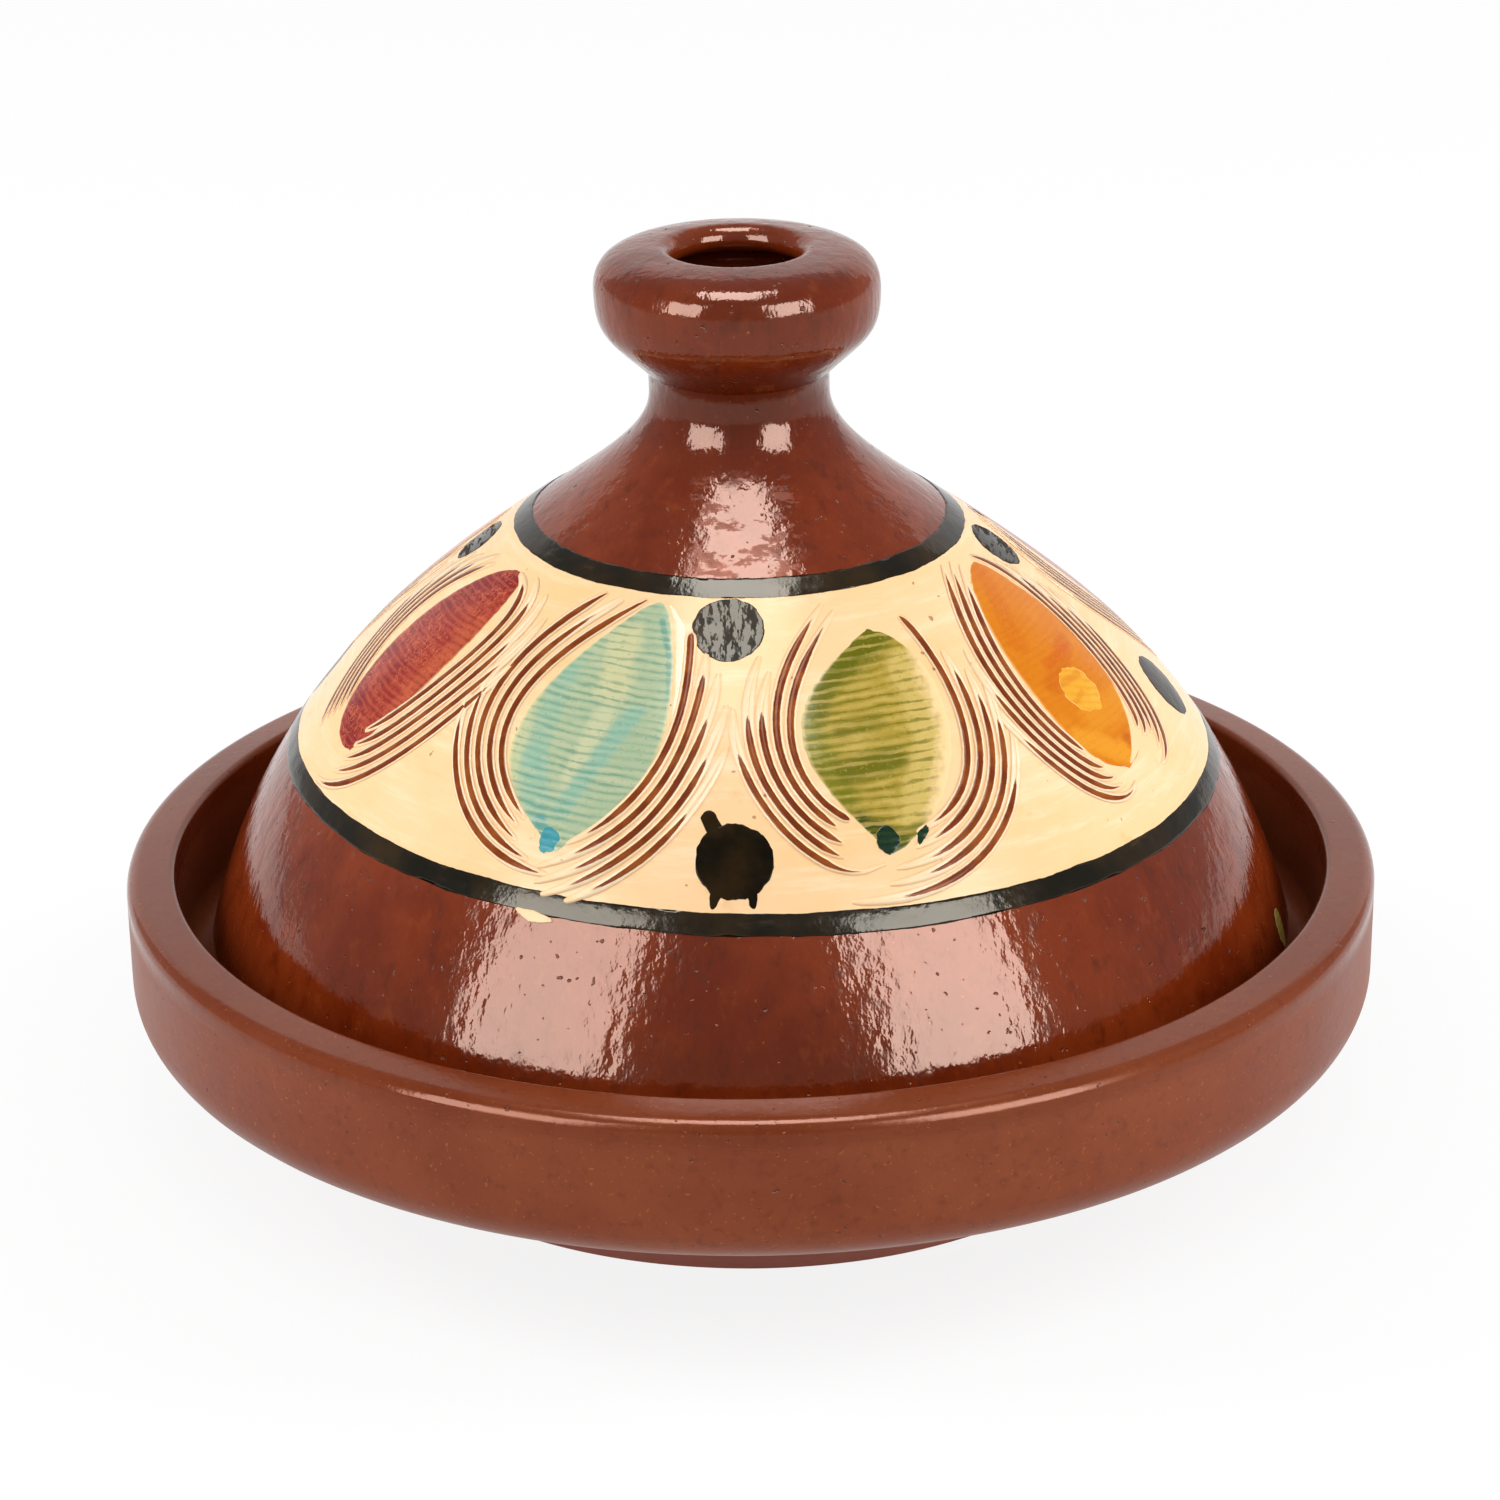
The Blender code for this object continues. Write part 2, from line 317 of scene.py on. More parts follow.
def wheel_tree():
    """Turns an outline about Z, as the wheel does, and then adds what the hands do."""
    tree, given, end = new_group("turned on the wheel",
                                 ("Geometry", "Steps", *HAND_SIZES, "Finish"))
    sheet, turn, place = carried_round(given)
    away, _, height = split(place)
    close_up(sheet, by_hand(turned(away, turn, height), given), given, end, True)
    return tree


def base_mesh(name, chains, closed=False):
    """Chains of points joined by edges, which a tree works from."""
    mesh = bpy.data.meshes.new(name)
    edges = []
    start = 0
    for chain in chains:
        edges += [(start + i, start + i + 1) for i in range(len(chain) - 1)]
        if closed:
            edges.append((start + len(chain) - 1, start))
        start += len(chain)
    mesh.from_pydata([tuple(point) for chain in chains for point in chain], edges, [])
    return mesh


def placed(name, data):
    """A new object in the scene, around its mesh, lamp or lens."""
    thing = bpy.data.objects.new(name, data)
    bpy.context.scene.collection.objects.link(thing)
    return thing


def plain_mesh(piece):
    """What a piece's modifiers make of it, as a mesh of its own."""
    return bpy.data.meshes.new_from_object(
        piece.evaluated_get(bpy.context.evaluated_depsgraph_get()))


def made(name, base, tree, sizes):
    """Runs a tree on a base mesh and gives the result as a plain object."""
    worker = placed(name, base)
    modifier = worker.modifiers.new("work", "NODES")
    modifier.node_group = tree
    for item in tree.interface.items_tree:
        if item.in_out == "INPUT" and item.name in sizes:
            modifier[item.identifier] = sizes[item.name]
    mesh = plain_mesh(worker)
    worker.modifiers.remove(modifier)
    worker.data = mesh
    mesh.name = name
    bpy.data.meshes.remove(base)
    return worker


def new_finish(name, colour, roughness, gloss=0.5, tint=(1, 1, 1)):
    """A glazed finish and its place on the piece. Colour, roughness and bump are wired in later."""
    material = bpy.data.materials.new(name)
    material.use_nodes = True
    material.diffuse_color = (*colour, 1)
    tree = material.node_tree
    for socket, value in (("Base Color", (*colour, 1)), ("Roughness", roughness),
                          ("Specular IOR Level", gloss), ("Specular Tint", (*tint, 1))):
        tree.nodes["Principled BSDF"].inputs[socket].default_value = value
    return material, Wire(tree, tree.nodes.new("ShaderNodeTexCoord").outputs["Object"])


def painted(colour, *coats):
    """A colour with coats over it, each a colour and its share from 0 to 1."""
    for coat, share in coats:
        feeds = {0: share}
        for socket, paint in ((6, colour), (7, coat)):
            feeds[socket] = paint if isinstance(paint, Wire) else (*paint, 1)
        colour = step(share.tree, "ShaderNodeMix", feeds, 2, data_type="RGBA")
    return colour


def finish_off(material, colour, roughness, *heights):
    """Wires a finish: its colour, its roughness, and each relief with its depth in millimetres."""
    tree = material.node_tree
    shader = tree.nodes["Principled BSDF"]
    tree.links.new(colour.socket, shader.inputs["Base Color"])
    if isinstance(roughness, Wire):
        tree.links.new(roughness.socket, shader.inputs["Roughness"])
    facing = {}
    for height, depth in heights:
        facing = {"Normal": step(tree, "ShaderNodeBump", {"Height": height, "Strength": 1,
                                                          "Distance": depth * MM, **facing})}
    tree.links.new(facing["Normal"].socket, shader.inputs["Normal"])
    return material


def dish_finish():
    """Satin brown glaze over speckled clay, unglazed and purplish at the foot, which has painted
    bounce light.
    """
    material, place = new_finish("dish_satin_glaze", (0.20, 0.038, 0.010), 0.38, 0.40,
                                 (1, 0.60, 0.46))
    height = split(place)[2]
    cloud = grain(place, 22, 1, 4, 0.6)
    sand = grain(place, 420, 2, 3, 0.6)
    wheel = grain(place.stretched(0.15, 0.15, 1), 260, 3, 3, 0.6)
    iron = grain(place, 1200, 4, 1)
    pits = between(grain(place, 640, 5, 1), 0.71, 0.77)
    # The foot is bare clay, and its colour is also painted lighter, as painted bounce light from the
    # white floor.
    bare_foot_and_bounce = between(height + (cloud - 0.5) * (1.6 * MM), *BARE_FOOT_AND_BOUNCE)
    rim = between(height + (cloud - 0.5) * (2 * MM), *SHINY_RIM)
    colour = painted((0.158, 0.025, 0.005),
                     ((0.215, 0.044, 0.012), between(cloud, 0.3, 0.7)),
                     ((0.11, 0.017, 0.004), between(sand, 0.50, 0.76, 0, 0.6)),
                     ((0.40, 0.14, 0.025), between(iron, 0.66, 0.74, 0, 0.45)),
                     ((0.06, 0.012, 0.004), pits * 0.7),
                     ((0.44, 0.16, 0.12), bare_foot_and_bounce),
                     ((0.115, 0.018, 0.004), rim * 0.35))
    rough = between(cloud, 0.3, 0.7, 0.33, 0.45) + bare_foot_and_bounce * 0.3 - rim * 0.23
    return finish_off(material, colour, rough, (wheel, 0.10), (sand, 0.06), (pits, -0.12))


wheel = wheel_tree()
outline = upright(fine(dish_outline(), DISH_RUN))
dish = made("dish_body", base_mesh("dish_outline", [outline]), wheel,
            {"Steps": WHEEL_STEPS, "Finish": dish_finish(), **DISH_HANDS})
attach(dish, "dish")
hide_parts("dish")


# The lid: one hollow piece of the same clay, a bell with a hollow knob thrown on its top. It
# stands inside the dish's rim, and a clear lead-bright glaze covers it, dark chestnut where the
# clay shows. Its steam vent is pierced through the wall under the upper band.
LID_PLAY = 7.5 * MM
SEAT_GAP = 0.3 * MM
LID_WALL = 8.6 * MM
SKIRT_HEIGHT = 9.2 * MM
CONE_RISE = 119.1 * MM
NECK_RADIUS = 18.9 * MM
NECK_HEIGHT = 4.3 * MM
KNOB_SWELL_RISE = 17.7 * MM
KNOB_RADIUS = 29.85 * MM
KNOB_CROWN_RISE = 8.9 * MM
CROWN_FALL = 4.0
CROWN_TOP_PULL = 7.5 * MM
CROWN_SIDE_PULL = 7.4 * MM
KNOB_WALL = 9.5 * MM
MOUTH_RADIUS = 13.0 * MM
MOUTH_ROUND = 3.4 * MM
CUP_DEPTH = 27.9 * MM
CUP_FLOOR_THICKNESS = 8.5 * MM
DOME_RISE = 9.0 * MM
NECK_PULL = 0.195
SHOULDER_PULL = 0.678
SHOULDER_ANGLE = 75.5
KNOB_SIDE_PULL = 0.525
KNOB_FLARE_PULL = 0.70
KNOB_FLARE_ANGLE = 45.0
CUP_PULL = 0.58
LIP_ROUND = LID_WALL / 2
LID_RADIUS = WALL_RADIUS - LID_PLAY
LIP_RADIUS = LID_RADIUS - LIP_ROUND
SEAT = Vector((FOOT_RADIUS, FOOT_HEIGHT)) + polar(BELLY_ANGLE + 90, BELLY_WALL)
LIP_HEIGHT = crossing(SEAT + polar(BELLY_ANGLE + 90, LIP_ROUND + SEAT_GAP), BELLY_ANGLE,
                      Vector((LIP_RADIUS, 0)), 90).y
SKIRT_TOP = LIP_HEIGHT + SKIRT_HEIGHT
NECK_LOW = SKIRT_TOP + CONE_RISE
NECK_TOP = NECK_LOW + NECK_HEIGHT
KNOB_MIDDLE = NECK_TOP + KNOB_SWELL_RISE
LID_TOP = KNOB_MIDDLE + KNOB_CROWN_RISE
CONE_PIECES = 130
INSIDE_RUN = 4.0 * MM
OUTSIDE_RUN = 1.45 * MM
VENT_RADIUS = 2.7 * MM
VENT_FALL = 34.0 * MM
VENT_TURN = 18.0
VENT_SIDES = 28
LID_HANDS = {"Lean": -0.0101, "Lean From": 35 * MM, "Bow": 1.0 * MM, "Wobble": 0.30 * MM,
             "Rings": 0.05 * MM, "Inward": 0.0, "Seed": 11.0}
NECK_SHADE_STARTS = (146 * MM, 166 * MM)
NECK_SHADE_ENDS = (171 * MM, 180 * MM)
SKIRT_PAINTED_SHADE = (54 * MM, 42 * MM)
RUBBED_STARTS = (118 * MM, 124 * MM)
RUBBED_ENDS = (153 * MM, 149 * MM)
RUBBED_SIDES = (14 * MM, 8 * MM)


def curve(start, start_pull, end_pull, end, pieces):
    """Points on a cubic curve that leaves start and reaches end along the two pulls."""
    points = []
    for i in range(pieces + 1):
        t = i / pieces
        s = 1 - t
        points.append(s ** 3 * start + 3 * s * s * t * (start + start_pull)
                      + 3 * s * t * t * (end + end_pull) + t ** 3 * end)
    return points


def cone_curve(pieces):
    """The lid's outer side from its neck to its skirt: hollow above, full at the shoulder."""
    return curve(Vector((NECK_RADIUS, NECK_LOW)), Vector((0, -NECK_PULL * CONE_RISE)),
                 polar(180 - SHOULDER_ANGLE, SHOULDER_PULL * CONE_RISE),
                 Vector((LID_RADIUS, SKIRT_TOP)), pieces)


def knob_curve():
    """The knob's outer side, from its mouth over the widest ring to the crease at the neck."""
    mouth_centre = Vector((MOUTH_RADIUS + MOUTH_ROUND, LID_TOP - MOUTH_ROUND))
    mouth = arc(mouth_centre, MOUTH_ROUND, 180, 90 - CROWN_FALL, ROUND_PIECES)
    widest = Vector((KNOB_RADIUS, KNOB_MIDDLE))
    crown = curve(mouth[-1], polar(-CROWN_FALL, CROWN_TOP_PULL), Vector((0, CROWN_SIDE_PULL)),
                  widest, 2 * ROUND_PIECES)
    flare = polar(KNOB_FLARE_ANGLE, KNOB_FLARE_PULL * KNOB_SWELL_RISE)
    swell = curve(widest, Vector((0, -KNOB_SIDE_PULL * KNOB_SWELL_RISE)), flare,
                  Vector((NECK_RADIUS, NECK_TOP)), 2 * ROUND_PIECES)
    return mouth + crown[1:-1] + swell


def cup_curve():
    """The hollow in the knob, from the middle of its floor up to the mouth."""
    floor = Vector((0, LID_TOP - CUP_DEPTH))
    side = Vector((KNOB_RADIUS - KNOB_WALL, KNOB_MIDDLE))
    mouth = Vector((MOUTH_RADIUS, LID_TOP - MOUTH_ROUND))
    bowl = curve(floor, Vector((CUP_PULL * side.x, 0)),
                 Vector((0, CUP_PULL * (floor.y - side.y))), side, 2 * ROUND_PIECES)
    throat = curve(side, Vector((0, CUP_PULL * (mouth.y - side.y))),
                   Vector((0, CUP_PULL * (side.y - mouth.y))), mouth, ROUND_PIECES)
    return bowl + throat[1:-1]


def inner_curve(outer):
    """The lid's inner side, one wall in from the outer one, from the lip up to its dome."""
    apex = Vector((0, LID_TOP - CUP_DEPTH - CUP_FLOOR_THICKNESS))
    side = []
    for before, here, after in zip(outer, outer[1:], outer[2:]):
        run = (after - before).normalized()
        inside = here + Vector((run.y, -run.x)) * LID_WALL
        if inside.y < apex.y - DOME_RISE:
            side.append(inside)
    side.reverse()
    lean = (side[-1] - side[-2]).normalized()
    dome = curve(side[-1], lean * (CUP_PULL * DOME_RISE), Vector((CUP_PULL * side[-1].x, 0)),
                 apex, ROUND_PIECES)
    return [Vector((LID_RADIUS - LID_WALL, SKIRT_TOP))] + side + dome[1:]


def lid_outline():
    """The lid, from the floor of its knob's cup, over the knob, down and back up inside."""
    outer = cone_curve(CONE_PIECES)
    lip = arc(Vector((LIP_RADIUS, LIP_HEIGHT)), LIP_ROUND, 0, -180, ROUND_PIECES)
    inner = inner_curve(cone_curve(CONE_PIECES // 3))
    return (cup_curve() + fine(knob_curve(), OUTSIDE_RUN) + fine(outer, OUTSIDE_RUN)
            + fine([outer[-1], lip[0]], OUTSIDE_RUN)[1:-1] + lip + fine(inner, INSIDE_RUN))


def lid_finish():
    """Bright glaze over dark clay: pits, peel and slow ripples break up what it mirrors, and its
    front is a little rubbed under the neck."""
    material, place = new_finish("lid_bright_glaze", (0.160, 0.020, 0.003), 0.13, 0.5,
                                 (1, 0.72, 0.60))
    x, _, z = split(place)
    cloud = grain(place, 30, 21, 5, 0.62)
    mottle = grain(place.stretched(1, 1, 0.6), 230, 22, 4, 0.65)
    high = z + (cloud - 0.5) * (16 * MM)
    neck = between(high, *NECK_SHADE_STARTS) - between(high, *NECK_SHADE_ENDS, 0, 0.70)
    # The lower skirt, inside the dish's rim, is painted darker, as painted shade and a painted dark
    # reflection of the dish.
    skirt = between(z + (cloud - 0.5) * (9 * MM), *SKIRT_PAINTED_SHADE)
    speck = between(grain(place, 760, 24, 1), 0.74, 0.80)
    pits = between(grain(place, 540, 25, 1.5), 0.69, 0.75)
    colour = painted((0.128, 0.014, 0.002),
                     ((0.190, 0.027, 0.005), between(cloud, 0.36, 0.62)),
                     ((0.080, 0.009, 0.001), neck * 0.8),
                     ((0.062, 0.009, 0.001), skirt * 0.75),
                     ((0.075, 0.008, 0.001), between(mottle, 0.50, 0.70, 0, 0.60)),
                     ((0.25, 0.048, 0.010), between(mottle, 0.44, 0.30, 0, 0.35)),
                     ((0.48, 0.16, 0.03), speck * 0.45),
                     ((0.020, 0.005, 0.002), pits * 0.6))
    ripple = grain(place.stretched(1, 1, 0.45), 75, 26, 3, 0.6)
    torn = grain(place.stretched(1, 1, 0.55), 260, 28, 3, 0.65)
    peel = grain(place, 620, 27, 2)
    scuff = grain(place.stretched(0.6, 0.6, 1.7), 150, 29, 4, 0.75)
    rubbed = between(z, *RUBBED_STARTS) * between(z, *RUBBED_ENDS) * between(abs(x), *RUBBED_SIDES)
    scuff = between(scuff, 0.51, 0.57) * rubbed
    rough = between(mottle, 0.35, 0.75, 0.08, 0.17) + pits * 0.4 + scuff * 0.34
    return finish_off(material, colour, rough, (ripple, 0.48), (torn, 0.21), (peel, 0.034),
                      (pits, -0.20))


def vent_drill():
    """The round tool that pierces the vent, square to the wall where the lid leans to."""
    outline = cone_curve(CONE_PIECES)
    height = NECK_LOW - VENT_FALL
    point, facing = next((a, Vector(((a - b).y, (b - a).x)).normalized())
                         for a, b in zip(outline, outline[1:]) if a.y >= height > b.y)
    turn = math.radians(VENT_TURN)
    tool = bmesh.new()
    bmesh.ops.create_cone(tool, cap_ends=True, segments=VENT_SIDES, radius1=VENT_RADIUS,
                          radius2=VENT_RADIUS, depth=4 * LID_WALL)
    mesh = bpy.data.meshes.new("vent_drill")
    tool.to_mesh(mesh)
    tool.free()
    drill = placed("vent_drill", mesh)
    shift = LID_HANDS["Lean"] * (point.y - LID_HANDS["Lean From"])
    drill.location = (point.x * math.cos(turn) + shift, point.x * math.sin(turn), point.y)
    drill.rotation_euler = (0, math.atan2(facing.x, facing.y), turn)
    return drill


def pierced(piece, drill):
    """Cuts the vent through a piece and leaves it a plain mesh."""
    cut = piece.modifiers.new("vent", "BOOLEAN")
    cut.operation = "DIFFERENCE"
    cut.solver = "EXACT"
    cut.object = drill
    mesh = plain_mesh(piece)
    piece.modifiers.remove(cut)
    piece.data = mesh


drill = vent_drill()
lid = made("lid_body", base_mesh("lid_outline", [upright(lid_outline())]), wheel,
           {"Steps": WHEEL_STEPS, "Finish": lid_finish(), **LID_HANDS})
pierced(lid, drill)
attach(lid, "lid")
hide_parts("lid")


# The belt of slip: thin cream clay, brushed round the lid while it turned on the wheel, before
# the ovals were painted on it. It lies a little proud of the brown clay, and its two edges end
# under the black bands.
SLIP_LIFT = 0.16 * MM
UPPER_BAND_RUN = 39.95 * MM
LOWER_BAND_RUN = 113.5 * MM
UPPER_BAND_TILT = 0.016
LOWER_BAND_TILT = 0.027
TILT_REACH = 0.86
SLIP_ROW = 1.1 * MM
SLIP_EDGE = 1.2 * MM
SLIP_CREAM = (0.95, 0.625, 0.345)
SLIP_GLOSS = 0.11
KINDS.update({"Line": "Geometry", "Flat": "Vector", "Slope": "Object"})


def on_lid_group():
    """Lays flat work on the lid: X goes round, Y up the slope and Z off the surface."""
    tree, given, end = new_group("laid on the lid", ("Line", "Flat", "Turn", "Run"), "Place")
    across, up, lift = split(given["Flat"])
    found = given["Line"].into("SampleCurve", {"Length": given["Run"] - up}, "Position",
                               mode="LENGTH")
    away, _, height = split(found)
    run_out, _, run_up = split(found.beside("Tangent"))
    turn = given["Turn"] + across / away
    place = turned(away - lift * run_up, turn, height + lift * run_out)
    tree.links.new(place.socket, end.inputs[0])
    return tree


LAID = on_lid_group()


def laid(flat, given, turn):
    """The place on the lid, hands and all, of a point of flat work."""
    line = given["Slope"].into("ObjectInfo", {}, "Geometry").into("MeshToCurve", {})
    place = shape(flat.tree, "Group", {"Line": line, "Flat": flat, "Turn": turn,
                                       "Run": given["Run"]}, node_tree=LAID)
    return by_hand(place, given)


def belt_tree():
    """Runs a flat section round the lid. The painter's hand tilts it and frays its edges."""
    tree, given, end = new_group("belt round the lid",
                                 ("Geometry", "Steps", "Run", "Upper Tilt", "Lower Tilt",
                                  "Half Height", "Fray", "Slope", *HAND_SIZES, "Finish"))
    sheet, turn, place = carried_round(given)
    _, up, lift = split(place)
    cosine = turn.maths("COSINE")
    side = up / given["Half Height"]
    low = given["Lower Tilt"]
    tilt = low + (given["Upper Tilt"] - low) * between(side, -1, 1)
    reach = (given["Run"] - up) * TILT_REACH
    wander = grain(joined(cosine, turn.maths("SINE"), side * 2), 7, given["Seed"], 4, 0.62)
    fray = (wander - 0.5) * given["Fray"] * abs(side) * 2
    flat = joined(0, up - tilt * cosine * reach + fray, lift)
    close_up(sheet, laid(flat, given, turn), given, end, True)
    return tree


def slip_look(place):
    """The slip's colour, roughness and relief: the drag of the brush, stains and pinholes."""
    cloud = grain(place, 34, 41, 5, 0.62)
    drag = grain(place.stretched(0.10, 0.10, 1), 420, 42, 4, 0.65)
    stain = between(grain(place, 150, 43, 3), 0.64, 0.78)
    hole = between(grain(place, 520, 44, 1), 0.735, 0.775)
    ripple = grain(place, 95, 45, 3, 0.55)
    colour = painted(SLIP_CREAM,
                     ((0.91, 0.57, 0.265), between(cloud, 0.40, 0.70, 0, 0.8)),
                     ((0.98, 0.78, 0.54), between(drag, 0.48, 0.72, 0, 0.52)),
                     ((0.86, 0.50, 0.18), between(drag, 0.42, 0.22, 0, 0.35)),
                     ((0.74, 0.37, 0.11), stain * 0.35),
                     ((0.33, 0.12, 0.03), hole * 0.7))
    return colour, between(drag, 0.3, 0.8, 0.16, 0.26), (ripple, 0.25), (drag, 0.03), (hole, -0.08)


def coat(name, base, tree, finish, sizes, pierce=False):
    """A coat on the lid, laid by a tree: it moves with the lid and takes its finish."""
    piece = made(name, base, tree, {"Slope": slope, "Finish": finish, **LID_HANDS, **sizes})
    if pierce:
        pierced(piece, drill)
    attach(piece, "lid")


belt = belt_tree()
slope = placed("slope", base_mesh("slope", [upright(cone_curve(2 * CONE_PIECES))]))
slope.hide_render = True
slip_half = (LOWER_BAND_RUN - UPPER_BAND_RUN) / 2
top_side = fine([Vector((slip_half, -SLIP_LIFT)), Vector((slip_half - SLIP_EDGE, SLIP_LIFT)),
                 Vector((SLIP_EDGE - slip_half, SLIP_LIFT)), Vector((-slip_half, -SLIP_LIFT))],
                SLIP_ROW)
under_side = fine([top_side[-1], top_side[0]], 3 * SLIP_ROW)[1:]
section = [Vector((0, p.x, p.y)) for p in top_side + under_side]
cream, cream_place = new_finish("cream_slip", SLIP_CREAM, 0.2, SLIP_GLOSS)
finish_off(cream, *slip_look(cream_place))
coat("slip_belt", base_mesh("slip_section", [section]), belt, cream,
     {"Steps": WHEEL_STEPS, "Run": (UPPER_BAND_RUN + LOWER_BAND_RUN) / 2,
      "Upper Tilt": UPPER_BAND_TILT, "Lower Tilt": LOWER_BAND_TILT, "Half Height": slip_half},
     pierce=True)


# The two black bands: manganese paint, laid with a loaded brush while the lid turned, over both
# edges of the slip. Their edges wander a little where the brush wavered.
BAND_LIFT = 0.24 * MM
BAND_SINK = 0.40 * MM
BAND_BASE = 0.02 * MM
BAND_SIDES = 24
BAND_FULLNESS = 0.35
BANDS = {"upper_band": (UPPER_BAND_RUN, 5.2 * MM, UPPER_BAND_TILT, 0.9 * MM),
         "lower_band": (LOWER_BAND_RUN, 4.9 * MM, LOWER_BAND_TILT, 1.0 * MM)}


def black_finish(name, gloss, dry):
    """Manganese black, brown where the brush left it thin, and dull where the brush was dry."""
    material, place = new_finish(name, (0.008, 0.005, 0.002), 0.12, gloss, (1, 0.93, 0.80))
    drag = grain(place.stretched(0.2, 0.2, 1), 420, 61, 3, 0.6)
    thin = grain(place, 60, 62, 4, 0.6)
    colour = painted((0.004, 0.003, 0.001),
                     ((0.026, 0.013, 0.003), between(thin, 0.40, 0.70)),
                     ((0.085, 0.045, 0.014), between(drag, 0.60, 0.80, 0, 0.5)))
    ripple = grain(place, 110, 63, 3, 0.55)
    torn = grain(place, 330, 64, 3, 0.65)
    bristle = grain(place.stretched(1, 0.25, 0.45), 620, 65, 3, 0.7)
    rough = between(drag, 0.3, 0.8, 0.10, 0.22) + between(bristle, 0.53, 0.45) * dry
    return finish_off(material, colour, rough, (ripple, 0.20), (torn, 0.10))


black = black_finish("manganese_black", 0.32, 0)
for name, (run, height, tilt, fray) in BANDS.items():
    section = []
    for i in range(BAND_SIDES + 1):
        around = math.tau * i / BAND_SIDES
        rise = math.copysign(abs(math.sin(around)) ** BAND_FULLNESS, math.sin(around))
        lift = rise * (BAND_LIFT if rise > 0 else BAND_SINK)
        section.append(Vector((0, math.cos(around) * height / 2, lift - BAND_BASE)))
    coat(name, base_mesh(name + "_section", [section]), belt, black,
         {"Steps": 2 * WHEEL_STEPS, "Run": run, "Upper Tilt": tilt, "Lower Tilt": tilt,
          "Half Height": height / 2, "Fray": fray})


# The eight painted ovals: red, turquoise, green and amber glaze, brushed between two scored
# lines, four on the front and the same four again behind. Each is a thin pool of colour that
# lies on the slip, thicker in the middle than at its edge.
OVAL_RUN = 75.43
OVAL_DOME = 0.10
OVAL_TIP = 0.05
OVAL_FRAY = 1.1
OVAL_SHEET = (84, 48)
SIDE_POINTS = 40
POOL_SINK = 0.2 * MM
POOL_FULLNESS = 0.45
UNDER_SLIP = -0.03
OVALS = {
    "red": (-154.5, [(-0.4, 29.0), (-19.7, 17.4), (-30.5, -26.9), (-2.9, -23.2)],
            [(4.5, 29.1), (10.5, 19.0), (9.5, -6.0), (-2.6, -23.2)]),
    "turquoise": (-113.0, [(2.2, 31.3), (-35.5, -12.9), (-11.1, -17.0), (-3.4, -26.8)],
                  [(5.4, 31.3), (27.4, -14.6), (0.0, -20.5), (-0.8, -25.8)]),
    "green": (-69.5, [(6.9, 22.9), (-30.0, 1.5), (-9.2, -16.0), (-4.2, -26.0)],
              [(7.2, 22.8), (21.5, 17.0), (24.5, -12.5), (-2.7, -26.2)]),
    "amber": (-27.0, [(4.6, 27.7), (-14.4, 21.5), (-27.0, -32.0), (2.2, -23.9)],
              [(8.0, 26.5), (35.7, -23.9), (-27.2, -28.9), (2.3, -23.8)]),
}
BACK_TURNS = {"red": 26.5, "turquoise": 68.0, "green": 112.0, "amber": 154.5}
FRAY_SEEDS = {"front": 3.0, "back": 8.0}
WORN_CREAM = (0.92, 0.655, 0.335)
STROKE_UNEVEN = 0.9
STROKE_EDGES = (1.15, 0.35)
KINDS.update({"Rows": "Int", "Columns": "Int"})


def stored(mesh, name, value):
    """The mesh with a vector kept on each of its points, for the finish to read."""
    return mesh.into("StoreNamedAttribute", {"Name": name, "Value": value},
                     data_type="FLOAT_VECTOR", domain="POINT")


def patch_tree():
    """Fills the space between two painted sides with a thin pool of colour on the lid."""
    tree, given, end = new_group("pool of colour",
                                 ("Geometry", "Rows", "Columns", "Turn", "Run", "Ground", "Dome",
                                  "Sink", "Tip", "Fray", "Fray Seed", "Slope", *HAND_SIZES,
                                  "Finish"))
    sides = given["Geometry"].into("MeshToCurve", {})
    sheet, row, column = rows_and_columns(given["Rows"], given["Columns"] + 1)
    along = (row / (given["Rows"] - 1) * math.pi).maths("COSINE") * -0.5 + 0.5
    around = column / given["Columns"] * math.tau
    across = around.maths("COSINE") * -0.5 + 0.5
    ends = (along / given["Tip"]).maths("MINIMUM", (along * -1 + 1) / given["Tip"])
    ends = (ends.maths("MINIMUM", 1) * -1 + 1).maths("POWER", 2) * -1 + 1
    ends = ends.maths("MAXIMUM", 0).maths("SQRT")
    left, right = (sides.into("SampleCurve", {"Factor": along, "Curve Index": index},
                              "Position", mode="FACTOR") for index in (0, 1))
    flat = step(tree, "ShaderNodeMix", {0: (across - 0.5) * ends + 0.5, 4: left, 5: right}, 1,
                data_type="VECTOR")
    u, v, _ = split(flat)
    height = around.maths("SINE") * ends
    over = height.maths("MAXIMUM", 0).maths("POWER", POOL_FULLNESS) * given["Dome"]
    lift = over + height.maths("MINIMUM", 0) * given["Sink"] + given["Ground"]
    fray = given["Fray"]
    seed = given["Fray Seed"]
    laid_flat = joined(u + (grain(flat, 420, seed, 3) - 0.5) * fray,
                       v + (grain(flat, 420, seed + 7, 3) - 0.5) * fray, lift)
    sheet = stored(sheet, "flat", laid_flat)
    sheet = stored(sheet, "share", joined(across, along, 0))
    close_up(sheet, laid(laid_flat, given, given["Turn"]), given, end, False)
    return tree


def bezier(corners, t):
    """A point of a cubic curve, also a little past its ends, from corners in millimetres."""
    s = 1 - t
    weights = (s ** 3, 3 * s * s * t, 3 * s * t * t, t ** 3)
    return Vector((sum(w * c[0] for w, c in zip(weights, corners)),
                   sum(w * c[1] for w, c in zip(weights, corners)), 0)) * MM


def attribute(tree, name, output="Vector"):
    """A piece's own attribute, in a finish."""
    return step(tree, "ShaderNodeAttribute", {}, output, attribute_name=name,
                attribute_type="GEOMETRY")


